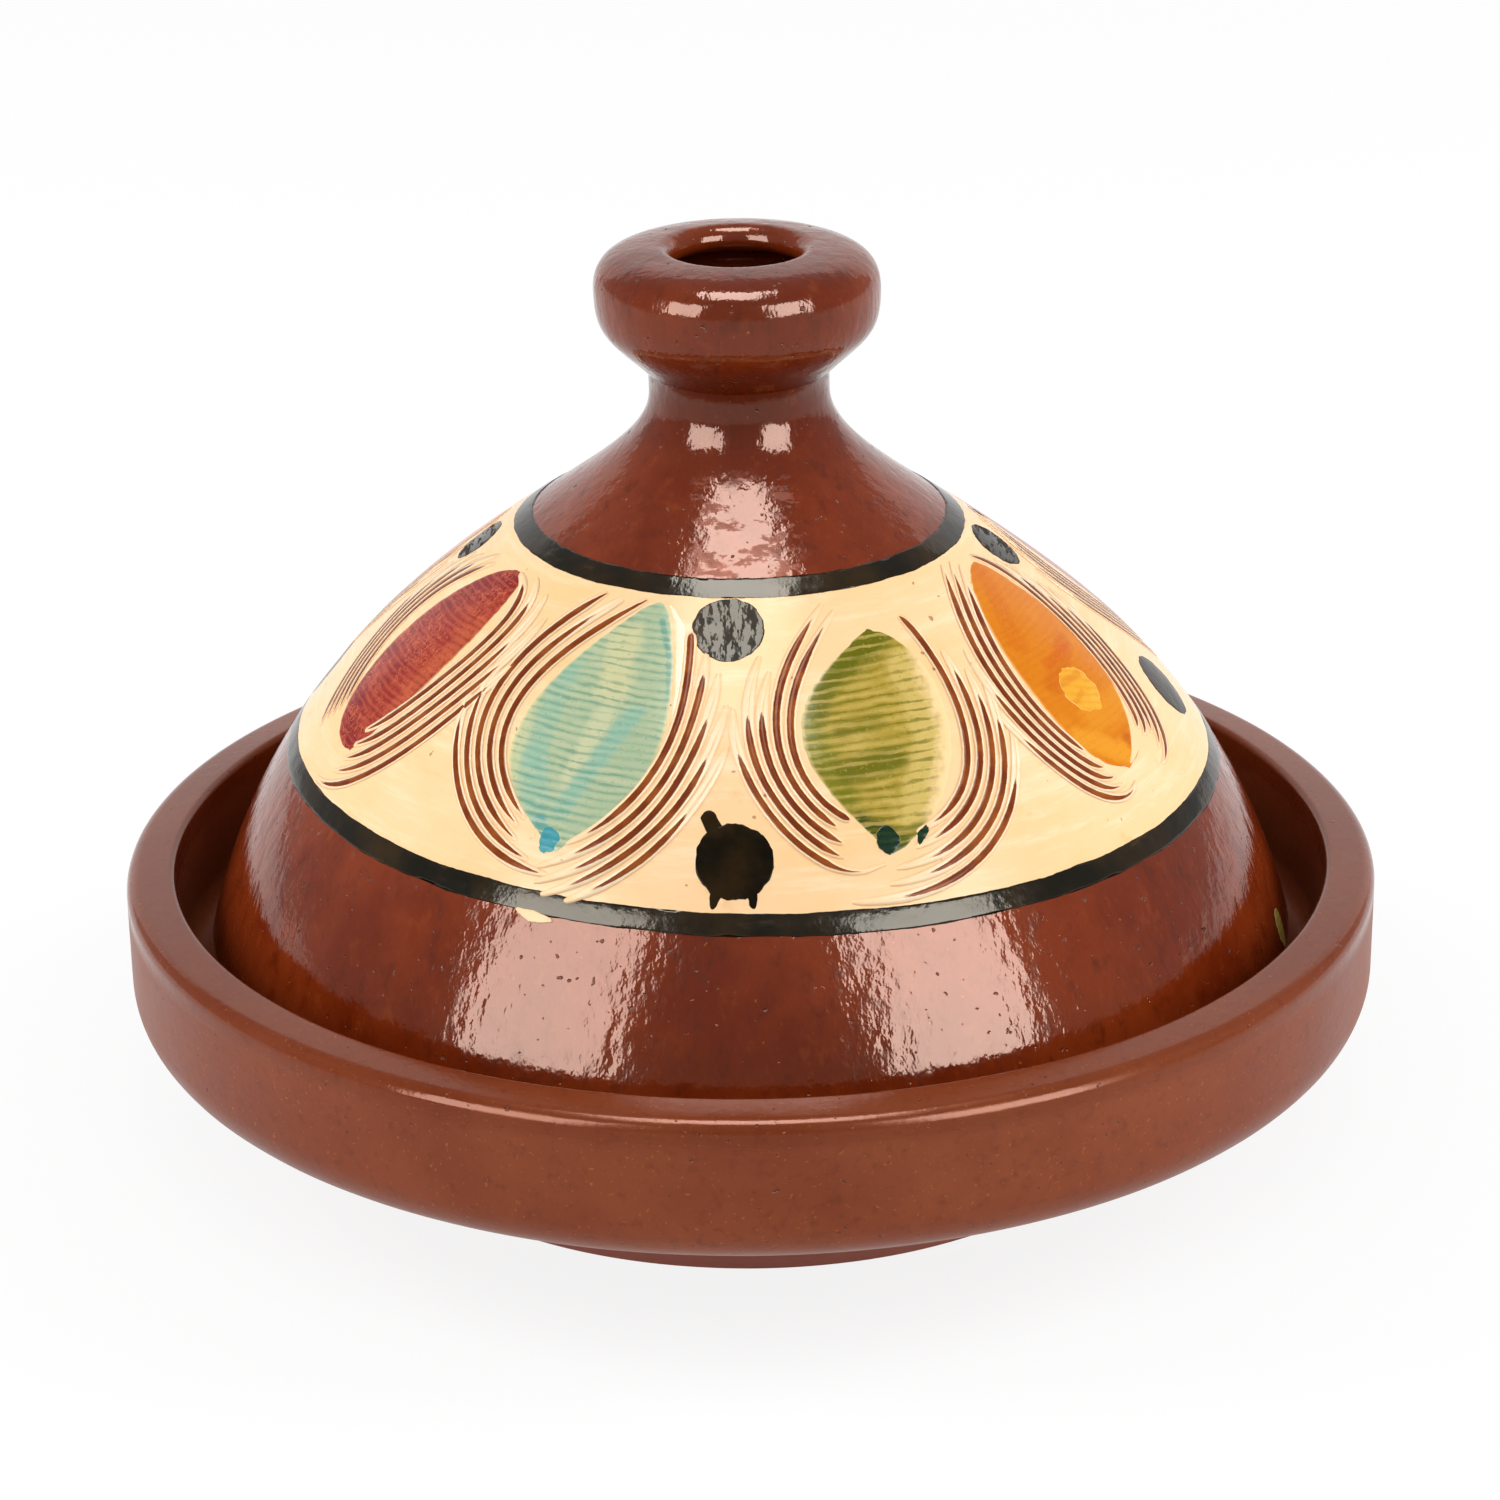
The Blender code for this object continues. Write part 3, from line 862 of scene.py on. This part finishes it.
def near_line(flat, ends, width, uneven):
    """Where the brush went: full along a line given in millimetres, and soft at its sides."""
    first = Vector((*ends[:2], 0)) * MM
    run = Vector((*ends[2:], 0)) * MM - first
    from_first = flat.vectors("SUBTRACT", first)
    share = from_first.vectors("DOT_PRODUCT", run / run.length_squared, output="Value")
    share = share.maths("MAXIMUM", 0).maths("MINIMUM", 1)
    foot = step(flat.tree, "ShaderNodeVectorMath", {0: tuple(run), "Scale": share},
                operation="SCALE")
    away = from_first.vectors("SUBTRACT", foot).vectors("LENGTH", (0, 0, 0), output="Value")
    return between(away + (uneven - 0.5) * (width * STROKE_UNEVEN * MM),
                   *(edge * width * MM for edge in STROKE_EDGES))


def pool_finish(name, base, pale, deep, ribs, seed, sweeps=(), slant=0.04, pitch=1.6, cracks=0,
                fades=()):
    """A brushed colour glaze over the wheel's fine rings, which show as pale and deep ribs. Each
    sweep is a line in millimetres, a width, a paint and its share, and each fade is a line where
    the glaze wore off."""
    material, place = new_finish(name, base, 0.16, 0.14)
    flat = attribute(place.tree, "flat")
    u, v, _ = split(flat)
    across = split(attribute(place.tree, "share"))[0]
    cloud = grain(flat, 110, seed + 1, 4, 0.6)
    uneven = grain(flat, 420, seed + 3, 3, 0.6)
    sand = grain(flat, 1500, seed + 2)
    drift = grain(joined(u * 0.30, v, 0), 170, seed, 3, 0.6)
    ring = (v + u * slant) * (math.tau / (pitch * MM)) + (drift - 0.5) * 13
    ring = ring.maths("SINE") + (uneven - 0.5) * 1.6 - 0.25
    patchy = grain(joined(u * 0.6, v * 1.6, 0), 110, seed + 5, 3, 0.6)
    strength = between(patchy, 0.36, 0.60, 0.25, 1) * ribs
    rim = between(across, 0.035, 0) + between(across, 0.965, 1)
    coats = [(pale, between(cloud, 0.48, 0.72, 0, 0.55))]
    coats += [(paint, near_line(flat, ends, width, uneven) * share)
              for *ends, width, paint, share in sweeps]
    coats += [(deep, between(ring, 0.10, 0.70) * strength),
              (pale, between(ring, -0.40, -1.10) * strength * 0.8)]
    for stretch in ((1, 0.22), (0.30, 1)) if cracks else ():
        crack = grain(joined(u * stretch[0], v * stretch[1], 0), 800, seed + 6, 2, 0.6)
        coats.append((pale, between(abs(crack - 0.5), 0.025, 0) * between(patchy, 0.60, 0.44)
                      * cracks))
    coats += [(pale, between(sand, 0.58, 0.78, 0, 0.45)), (deep, between(sand, 0.42, 0.24, 0, 0.45)),
              ((0.90, 0.66, 0.30), rim * 0.55)]
    coats += [(WORN_CREAM, near_line(flat, ends, width, uneven)) for *ends, width in fades]
    return finish_off(material, painted(base, *coats), 0.16, (ring, 0.010), (cloud, 0.10))


CRIMSON = (0.21, 0.008, 0.012)
TEAL = (0.25, 0.45, 0.34)
SEA = (0.10, 0.30, 0.25)
OLIVE = (0.115, 0.120, 0.004)
POOLS = {
    "red": pool_finish(
        "red_glaze", (0.30, 0.027, 0.018), (0.56, 0.115, 0.050), (0.21, 0.010, 0.013), 0.45, 81,
        [(3, 27.5, -8, 18, 5, CRIMSON, 1),
         (-9, 18, -17.5, -8, 3, CRIMSON, 0.8),
         (-17, -12, -5, -21.5, 4.4, CRIMSON, 1),
         (-4, 4, -9, -8, 2.8, CRIMSON, 0.7),
         (5.5, 15, 2, -10, 3, (0.50, 0.105, 0.045), 0.6)], 0, 1.7, 1),
    "turquoise": pool_finish(
        "turquoise_glaze", (0.36, 0.46, 0.29), (0.54, 0.56, 0.35), (0.15, 0.29, 0.19), 0.70, 84,
        [(-17.6, 8, -16.6, -12, 3, (0.55, 0.56, 0.31), 0.8),
         (-0.5, 22, 0.5, 10, 4.6, (0.64, 0.59, 0.31), 0.8),
         (0.4, 4, -2.5, -12, 3, (0.62, 0.60, 0.36), 0.7),
         (-7, 26, -11, 12, 3, TEAL, 0.4),
         (-10.6, 12, -12.4, -10, 3.2, TEAL, 0.65),
         (-12, -8, -8, -22, 4, TEAL, 0.85),
         (6.4, 5, -3.5, -18, 2.6, TEAL, 0.95),
         (5.6, 27, 9.6, 19, 0.8, SEA, 0.8),
         (9.6, 19, 12.6, 9, 0.7, SEA, 0.7),
         (-7.4, -20.5, -4.4, -25.5, 1.7, (0.08, 0.32, 0.34), 0.8)], 0.04, 1.85),
    "green": pool_finish(
        "green_glaze", (0.40, 0.285, 0.040), (0.58, 0.43, 0.115), (0.135, 0.130, 0.004), 0.72, 87,
        [(12, 13, 12.4, -4, 4.8, (0.62, 0.45, 0.13), 0.9),
         (12, -4, 3, -19, 4.6, (0.64, 0.47, 0.14), 0.85),
         (8, 21.5, -5, 14.5, 5.6, OLIVE, 1),
         (-5, 14.5, -13, 2, 4.2, OLIVE, 0.95),
         (-12.6, 2, -10, -13, 4.2, (0.17, 0.175, 0.006), 0.85),
         (-7, -8, 3, -6.5, 3.6, OLIVE, 0.85),
         (-6, 1, 2, 2, 2.6, OLIVE, 0.5),
         (-7.5, -20, -2, -24.5, 3.8, (0.030, 0.055, 0.008), 0.95),
         (-1, -23, 4.8, -21.4, 1.8, OLIVE, 0.7)], 0, 2.15,
        fades=[(19, 14, 19.2, -5, 5.8), (18.6, -5, 9.5, -21, 5.2)]),
    "amber": pool_finish(
        "amber_glaze", (0.64, 0.185, 0.004), (0.72, 0.25, 0.012), (0.55, 0.125, 0.002), 0.16, 90,
        [(5, 25, -6, 8, 3.4, (0.60, 0.135, 0.002), 0.6),
         (-8, -3, 9, 3, 2.8, (0.55, 0.11, 0.002), 0.6),
         (-4, 1.4, 7, 1.8, 1.5, (0.60, 0.105, 0.003), 0.6),
         (-4, -13, 9.5, -14, 4.6, (0.72, 0.27, 0.014), 0.8),
         (-12, -15, -3, -22.5, 3.6, (0.76, 0.31, 0.020), 0.9),
         (1, -20.5, 3, -23, 2, (0.54, 0.11, 0.002), 0.8)], 0, 1.7, 0.25),
}
patch = patch_tree()


def pool(name, sides, turn, run, finish, dome, lift=UNDER_SLIP, tip=0.01, fray=2.0, seed=0.0,
         rows=44, columns=40):
    """A pool of colour between two chains of points, on the lid. Its run down the slope, its
    dome, its lift over the slip and its fray are in millimetres."""
    coat(name, base_mesh("sides", sides), patch, finish,
         {"Rows": rows, "Columns": columns, "Turn": math.radians(turn), "Run": run * MM,
          "Ground": SLIP_LIFT + lift * MM, "Dome": dome * MM, "Sink": POOL_SINK, "Tip": tip,
          "Fray": fray * MM, "Fray Seed": seed})


for colour, (turn, *sides) in OVALS.items():
    for place, at in (("front", turn), ("back", BACK_TURNS[colour])):
        chains = [[bezier(corners, i / (SIDE_POINTS - 1)) for i in range(SIDE_POINTS)]
                  for corners in sides]
        pool("oval_{}_{}".format(colour, place), chains, at, OVAL_RUN, POOLS[colour], OVAL_DOME,
             UNDER_SLIP, OVAL_TIP, OVAL_FRAY, FRAY_SEEDS[place], *OVAL_SHEET)


# The combed marks: beside each oval the potter drew a coarse comb through the wet slip, once on
# each side. Every tooth cut down to the brown clay and pushed up a cream ridge on both sides of
# its groove, and it skipped where the comb went in and came out.
COMB_HALF = 1.18 * MM
COMB_POINTS = 64
COMB_SECTION = [(-1.06, -0.13), (-1.025, -0.004), (-1.0, -0.002), (-0.75, 0.014), (-0.5, 0.006),
                (0.0, 0.003), (0.5, 0.006), (0.75, 0.014), (1.0, -0.002), (1.025, -0.004),
                (1.06, -0.13), (0.0, -0.16)]
COMB_SHAKE = 0.14
COMB_CLOSING = {("turquoise", "left"): 0.5}
COMB_LEAD = 0.20
COMB_LEAVE = {"red": 0.02, "turquoise": 0.09, "green": 0.10, "amber": 0.02}
COMB_LEFT_LEAVE = 0.02
COMB_FULL_RUN = 0.12
COMB_TAPER = 0.15
COMB_TIP_WIDTH = 0.3
BACK_SHIFT = (-0.05, 0.03)
COMB_TOP = 31.8 * MM
COMB_FADE = 4.0 * MM
BESIDE_VENT = ("red", "left", "back")
COMBS = {
    "red": [([(-8.1, 26.7), (-28.1, 9.9), (-24.8, -7.7), (-19.2, -16.0)], 2.4,
             (0.04, 0.10, 0.20, 0.34, 0.46), (1.05, 1.08, 1.10, 1.10, 1.12)),
            ([(2.6, 28.8), (20.7, 24.5), (8.7, -12.5), (-4.4, -19.1)], 3.02,
             (0.08, 0.20, 0.36, 0.43, 0.49), (0.93, 0.98, 1.01, 1.03, 1.09))],
    "turquoise": [([(7.2, 37.2), (-33.8, 1.9), (-22.9, -15.3), (-3.5, -25.2)], 3.25,
                   (0.04, 0.13, 0.09, 0.43, 0.51), (0.86, 0.86, 0.89, 0.96, 1.03)),
                  ([(12.8, 22.8), (15.1, 16.1), (22.7, -10.7), (-0.7, -24.6)], 2.86,
                   (-0.15, 0.25, 0.44, 0.57, 0.72), (0.94, 0.99, 1.00, 1.02, 0.98))],
    "green": [([(1.6, 28.4), (-26.2, 0.5), (-15.4, -14.1), (-11.4, -17.4)], 2.71,
               (0.04, 0.04, 0.34, 0.36, 0.49), (1.15, 0.99, 1.09, 1.10, 1.15)),
              ([(17.0, 20.5), (21.5, 10.0), (26.6, -16.8), (2.5, -22.4)], 2.91,
               (-0.15, 0.28, 0.40, 0.50, 0.67), (0.94, 0.97, 1.00, 1.02, 1.09))],
    "amber": [([(1.1, 28.8), (-23.4, 3.7), (-16.9, -15.5), (-12.6, -19.4)], 2.39,
               (0.06, 0.03, 0.04, 0.44, 0.62), (0.88, 1.08, 1.12, 1.12, 1.15)),
              ([(9.3, 26.5), (19.6, 15.3), (15.3, -11.3), (9.5, -18.5)], 2.29,
               (-0.07, 0.23, 0.36, 0.44, 0.52), (1.12, 1.12, 1.06, 1.10, 1.15))],
}
KINDS["Section"] = "Object"


def comb_tree():
    """Draws the comb's section along each tooth's path, and lays the marks on the lid."""
    tree, given, end = new_group("combed marks", ("Geometry", "Section", "Turn", "Run", "Ground",
                                                  "Slope", *HAND_SIZES, "Finish"))
    press = shape(tree, "InputNamedAttribute", {"Name": "press"}, "Attribute", data_type="FLOAT")
    paths = given["Geometry"].into("MeshToCurve", {}).into("SetCurveNormal", {}, mode="Z_UP")
    section = given["Section"].into("ObjectInfo", {}, "Geometry").into("MeshToCurve", {})
    marks = paths.into("CurveToMesh", {"Profile Curve": section, "Scale": press,
                                       "Fill Caps": True})
    flat = shape(tree, "InputPosition", {})
    marks = stored(marks, "flat", flat)
    raised = flat.vectors("ADD", joined(0, 0, given["Ground"]))
    close_up(marks, laid(raised, given, given["Turn"]), given, end, False)
    return tree


def tooth_path(corners, side, offset, closing, start, end, dice):
    """One tooth's path: the comb's own path, moved out, with the shake of the hand. The teeth
    close up towards the end where the comb was turned."""
    points = []
    shake = [dice.uniform(-COMB_SHAKE, COMB_SHAKE) * MM for _ in range(6)]
    for i in range(COMB_POINTS):
        share = i / (COMB_POINTS - 1)
        t = start + (end - start) * share
        run = (bezier(corners, t + 0.01) - bezier(corners, t - 0.01)).normalized()
        out = Vector((-run.y, run.x, 0)) * side
        wander = sum(s * math.sin((k + 1) * 2.1 * share + 7 * s / MM)
                     for k, s in enumerate(shake)) / 2
        points.append(bezier(corners, t)
                      + out * (offset * (1 - closing * max(t, 0) ** 4) + wander))
    return points


def tooth_marks(path, start, end, enter, leave, soft):
    """The points where one tooth touched and, for each, how far it had gone, how hard it pressed
    and how much clay it bared, and its width. It fades at both ends and under the upper band."""
    points, strokes, presses = [], [], []
    gone = 0
    for i, point in enumerate(path):
        room = (COMB_TOP - point.y) / COMB_FADE
        if room <= 0:
            continue
        share = i / (COMB_POINTS - 1)
        t = enter + (leave - enter) * share
        gone += (point - path[max(i - 1, 0)]).length
        clay = min((t - start) / soft, (end - t) / COMB_FULL_RUN, 2 * room)
        taper = max(0, min(1, share / COMB_TAPER, (1 - share) / COMB_TAPER, room))
        strokes += [gone, taper, max(0, min(1, clay))]
        presses.append(COMB_TIP_WIDTH + (1 - COMB_TIP_WIDTH) * math.sqrt(taper))
        points.append(point)
    return points, strokes, presses


def keep(mesh, name, kind, field, values):
    """Keeps values on the points of a base mesh, for a tree or a finish to read."""
    mesh.attributes.new(name, kind, "POINT").data.foreach_set(field, values)


def comb_finish():
    """Brown clay at the bottom of each groove; pale slip with a painted highlight on its ridges and
    where it ran out.
    """
    material, place = new_finish("combed_slip", SLIP_CREAM, 0.2, SLIP_GLOSS)
    slip_colour, rough, *relief = slip_look(place)
    flat = attribute(place.tree, "flat")
    along, mark, clay = split(attribute(place.tree, "stroke"))
    across = attribute(place.tree, "across", "Fac")
    ragged = grain(flat, 620, 101, 3, 0.65)
    streaks = grain(joined(along * 0.08, across * COMB_HALF, 0), 1700, 102, 2, 0.6)
    cloud = grain(flat, 170, 103, 3)
    edge = abs(across) + (ragged - 0.5) * 0.22
    past = edge - clay.maths("POWER", 0.5) * 0.58
    cut = between(clay, 0, 0.10)
    groove = between(past, 0.05, -0.05) * cut
    skipped = between(streaks - clay * 0.7, 0.36, 0.50)
    brown = painted((0.165, 0.026, 0.003), ((0.30, 0.075, 0.012), between(cloud, 0.38, 0.70)))
    # The ridges are painted near white: pale slip pushed up by the tooth, and partly a painted
    # highlight of the glaze on them.
    ridge_and_highlight = between(edge, 0.98, 0.72) * mark
    faint = between(edge, 0.34, 0.08) * between(streaks, 0.40, 0.60) * mark
    colour = painted(slip_colour, ((0.98, 0.84, 0.62), ridge_and_highlight * (clay * 0.30 + 0.60)),
                     ((0.78, 0.40, 0.13), faint * 0.75),
                     ((0.86, 0.50, 0.19), between(past, 0.16, 0.04) * clay * 0.7),
                     (brown, groove - groove * skipped * 0.8))
    return finish_off(material, colour, rough, *relief,
                      (ridge_and_highlight - between(past, 0.12, -0.10) * cut, 0.02))


comb = comb_tree()
combed = comb_finish()
tool_mesh = base_mesh("comb_section", [[Vector((x * COMB_HALF, y * MM, 0))
                                        for x, y in COMB_SECTION]], closed=True)
keep(tool_mesh, "across", "FLOAT", "value", [x for x, y in COMB_SECTION])
tool = placed("comb_section", tool_mesh)
tool.hide_render = True
dice = random.Random(17)
for colour, sides in COMBS.items():
    for place, at in (("front", OVALS[colour][0]), ("back", BACK_TURNS[colour])):
        for name, side, (corners, pitch, starts, ends) in zip(("left", "right"), (-1, 1), sides):
            teeth = []
            closing = COMB_CLOSING.get((colour, name), 0)
            trail = COMB_LEAVE[colour] if name == "right" else COMB_LEFT_LEAVE
            for tooth, (start, end) in enumerate(zip(starts, ends)):
                shift = 0 if place == "front" else dice.uniform(*BACK_SHIFT)
                start += shift
                end += shift
                enter = max(min(start, 0), start - dice.uniform(0.5, 1) * COMB_LEAD)
                leave = end + dice.uniform(0.5, 1) * trail
                path = tooth_path(corners, side, tooth * pitch * MM, closing, enter, leave, dice)
                soft = dice.uniform(0.5, 1) * COMB_FULL_RUN
                teeth.append(tooth_marks(path, start, end, enter, leave, soft))
            base = base_mesh("teeth", [points for points, _, _ in teeth])
            keep(base, "stroke", "FLOAT_VECTOR", "vector",
                 [value for _, strokes, _ in teeth for value in strokes])
            keep(base, "press", "FLOAT", "value",
                 [value for _, _, presses in teeth for value in presses])
            coat("combed_{}_{}_{}".format(colour, name, place), base, comb, combed,
                 {"Section": tool, "Turn": math.radians(at), "Run": OVAL_RUN * MM,
                  "Ground": SLIP_LIFT}, pierce=(colour, name, place) == BESIDE_VENT)


# The black dots: two between each pair of ovals, pressed on with a full round brush, so each is
# a thick blot of the same manganese paint. The lower front one has the tail and the two feet
# that the brush left.
DOTS = {
    "front_upper": (-92.1, 49.9, 7.3, 7.5, 3.0), "front_lower": (-91.6, 100.9, 7.9, 7.8, 5.0),
    "left_upper": (-184.5, 51.4, 6.0, 6.0, 7.0), "left_lower": (-191.5, 101.2, 7.6, 8.0, 9.0),
    "right_upper": (-3.3, 50.9, 6.6, 6.4, 11.0), "right_lower": (-3.2, 98.0, 7.6, 7.8, 13.0),
    "back_upper": (90.5, 50.5, 7.0, 7.2, 15.0), "back_lower": (88.8, 99.5, 8.0, 7.7, 17.0),
}
DOT_DOME = 0.12
DOT_FRAY = 1.6
TAILS = {
    "tail": ([(-6.4, 10.4), (-6.6, 9.0), (-5.6, 6.4), (-3.4, 3.6)],
             [(-3.6, 10.8), (-3.2, 9.0), (-2.0, 7.0), (-0.6, 5.4)]),
    "left_foot": ([(-4.4, -4.8), (-4.9, -7.2), (-4.9, -9.6)],
                  [(-1.6, -5.6), (-2.8, -7.6), (-3.8, -9.7)]),
    "right_foot": ([(1.6, -5.6), (2.8, -7.6), (3.0, -9.4)],
                   [(4.6, -4.8), (4.6, -7.2), (4.4, -9.6)]),
}
TAIL_DOME = 0.09
TAIL_TIP = 0.25
TAIL_FRAY = 0.5
TAIL_SEED = 19.0
dot_black = black_finish("dot_black", 0.10, 0)
streaked_black = black_finish("streaked_black", 0.26, 0.60)


def sides_of(*sides):
    """The sides of a pool, from points in millimetres."""
    return [[Vector((x, y, 0)) * MM for x, y in side] for side in sides]


def round_sides(left, right):
    """The two halves of a round blot, each with its own width and half height."""
    return sides_of(*([(side * wide * math.sin(math.pi * i / 24), high * math.cos(math.pi * i / 24))
                       for i in range(25)] for side, (wide, high) in ((-1, left), (1, right))))


for name, (turn, run, wide, high, seed) in DOTS.items():
    pool("dot_" + name, round_sides((wide, high), (wide, high)), turn, run,
         streaked_black if name.endswith("upper") else dot_black, DOT_DOME, fray=DOT_FRAY,
         seed=seed)
for name, sides in TAILS.items():
    pool("dot_front_lower_" + name, sides_of(*sides), *DOTS["front_lower"][:2], dot_black,
         TAIL_DOME, UNDER_SLIP, TAIL_TIP, TAIL_FRAY, TAIL_SEED)


# What the brush let fall: a run of cream slip over the lower band, the dark blobs where the
# turquoise and the green glaze gathered at the ovals' tips, the amber glaze's bright spot, a
# ridge of white slip beside the turquoise oval, and a splash of pale green low on the lid.
deep_green = pool_finish("deep_green_glaze", (0.006, 0.026, 0.012), (0.05, 0.09, 0.012),
                         (0.004, 0.022, 0.020), 0.3, 93)
deep_blue = pool_finish("deep_blue_glaze", (0.05, 0.29, 0.34), (0.15, 0.42, 0.40),
                        (0.03, 0.21, 0.28), 0.4, 94)
yellow = pool_finish("yellow_glaze", (0.78, 0.36, 0.025), (0.82, 0.45, 0.06),
                     (0.68, 0.24, 0.010), 0.3, 95,
                     [(-5, 3.2, 3.5, 2.6, 1.1, (0.64, 0.17, 0.007), 0.55),
                      (-4.6, -1.6, 0, -0.6, 0.9, (0.64, 0.18, 0.008), 0.45)], 0.5, 2.2)
white_slip = pool_finish("white_slip", (0.96, 0.80, 0.57), (0.97, 0.87, 0.68),
                         (0.92, 0.68, 0.40), 0.20, 97)
pale_green = pool_finish("pale_green_glaze", (0.34, 0.27, 0.06), (0.46, 0.34, 0.10),
                         (0.22, 0.17, 0.03), 0.4, 96)
pool("green_gather", round_sides((2.4, 3.0), (2.6, 2.7)), -71.9, 98.6, deep_green, 0.14, 0.02,
     seed=21.0)
pool("green_dash", sides_of([(-2.6, -2.6), (-2.0, 0.0), (0.6, 2.0)],
                            [(-2.0, -2.8), (-0.4, -1.2), (1.8, 1.6)]),
     -66.6, 98.2, deep_green, 0.10, 0.0, 0.25, 0.8, 22.0)
pool("blue_gather", round_sides((2.1, 2.8), (2.4, 2.4)), -115.75, 99.7, deep_blue, 0.12, 0.02,
     fray=2.2, seed=23.0)
pool("amber_spot", round_sides((5.9, 5.4), (5.9, 5.4)), -27.5, 82.1, yellow, 0.06, 0.05,
     fray=3.0, seed=24.0)
pool("cream_run", sides_of([(-5.4, 1.4), (-4.2, 0.2), (-2.0, -1.0)],
                           [(5.0, 0.2), (3.4, -0.9), (-0.6, -1.5)]),
     -115.0, 115.2, cream, 0.16, -0.02, 0.3, 0.8, 25.0)
pool("white_ridge", sides_of([(5.4, 31.0), (8.6, 26.5), (10.8, 19.6), (13.2, 11.2), (14.3, 4.0)],
                             [(6.6, 31.0), (10.9, 25.6), (12.7, 18.6), (14.4, 10.5), (14.8, 3.4)]),
     OVALS["turquoise"][0], OVAL_RUN, white_slip, 0.10, -0.02, 0.25, 0.8, 27.0)
pool("green_splash", round_sides((3.0, 4.2), (3.0, 4.2)), -12.0, 153.6, pale_green, 0.10, -0.19,
     seed=26.0)
for helper in (drill, slope, tool):
    bpy.data.objects.remove(helper)


# The studio: a plain white floor, two tall soft boxes in front and one over the front of the lid
# for the glaze to mirror, a white wall behind that only the glaze sees, and three wide soft
# lights. The camera looks down a little on the tagine, as in the picture.
CAMERA_PLACE = (0.0002, -0.9241, 0.4626)
CAMERA_FALL = 22.46
CAMERA_ROLL = -0.63
CAMERA_LENS = 111.02
SENSOR_WIDTH = 36.0
FLOOR_REACH = 30.0
FLOOR_WHITE = (0.94, 0.94, 0.94)
FLOOR_GLOW = 0.86
AMBIENT = 0.42
AIM_HEIGHT = 0.09
LAMPS = {
    "front_left_box": (-45, 24.5, 2, 1.10, 1.3, 54),
    "front_right_box": (45, 24.5, 2, 1.10, 1.3, 62),
    "over_front_box": (0, 85.5, 2, 0.95, 1, 46),
    "wide_top_light": (0, 52, 2.4, 2.4, 2, 26),
    "left_side_light": (-95, 26, 2, 0.8, 1.6, 24),
    "right_side_light": (95, 26, 2, 0.8, 1.6, 26),
    "white_wall_behind": (180, 20, 3, 5, 2.2, 20),
}


def white_floor():
    """White to the camera and to mirrors, with enough of the lit floor left for its shadow."""
    material, place = new_finish("white_floor", FLOOR_WHITE, 0.9, 0.1)
    tree = place.tree
    path = step(tree, "ShaderNodeLightPath", {})
    seen = (path + path.beside("Is Glossy Ray") + path.beside("Is Transmission Ray")).maths(
        "MINIMUM", 1)
    shaded = Wire(tree, tree.nodes["Principled BSDF"].outputs[0])
    glow = step(tree, "ShaderNodeEmission", {"Color": (1, 1, 1, 1), "Strength": 1})
    mix = step(tree, "ShaderNodeMixShader", {0: seen * FLOOR_GLOW, 1: shaded, 2: glow})
    tree.links.new(mix.socket, tree.nodes["Material Output"].inputs["Surface"])
    return material


mesh = bpy.data.meshes.new("floor")
mesh.from_pydata([(x * FLOOR_REACH, y * FLOOR_REACH, 0)
                  for x, y in ((-1, -1), (1, -1), (1, 1), (-1, 1))], [], [(0, 1, 2, 3)])
mesh.materials.append(white_floor())
placed("floor", mesh)
world = bpy.data.worlds.new("studio")
world.use_nodes = True
world.node_tree.nodes["Background"].inputs["Color"].default_value = (1, 1, 1, 1)
world.node_tree.nodes["Background"].inputs["Strength"].default_value = AMBIENT
bpy.context.scene.world = world
for name, (azimuth, elevation, distance, width, height, power) in LAMPS.items():
    lamp = bpy.data.lights.new(name, "AREA")
    lamp.shape = "RECTANGLE"
    lamp.size = width
    lamp.size_y = height
    lamp.energy = power
    home = placed(name, lamp)
    level = polar(elevation)
    around = math.radians(azimuth)
    away = Vector((math.sin(around) * level.x, -math.cos(around) * level.x, level.y))
    home.location = away * distance + Vector((0, 0, AIM_HEIGHT))
    home.rotation_euler = away.to_track_quat("Z", "Y").to_euler()
    home.visible_camera = False
    home.visible_diffuse = name.endswith("light")
    home.visible_glossy = not name.endswith("light")

lens = bpy.data.cameras.new("camera")
lens.lens = CAMERA_LENS
lens.sensor_width = SENSOR_WIDTH
camera = placed("camera", lens)
camera.location = CAMERA_PLACE
camera.rotation_euler = (math.radians(90 - CAMERA_FALL), 0, 0)
camera.rotation_euler.rotate_axis("Z", math.radians(CAMERA_ROLL))
bpy.context.scene.camera = camera
bpy.context.scene.view_settings.view_transform = "Standard"
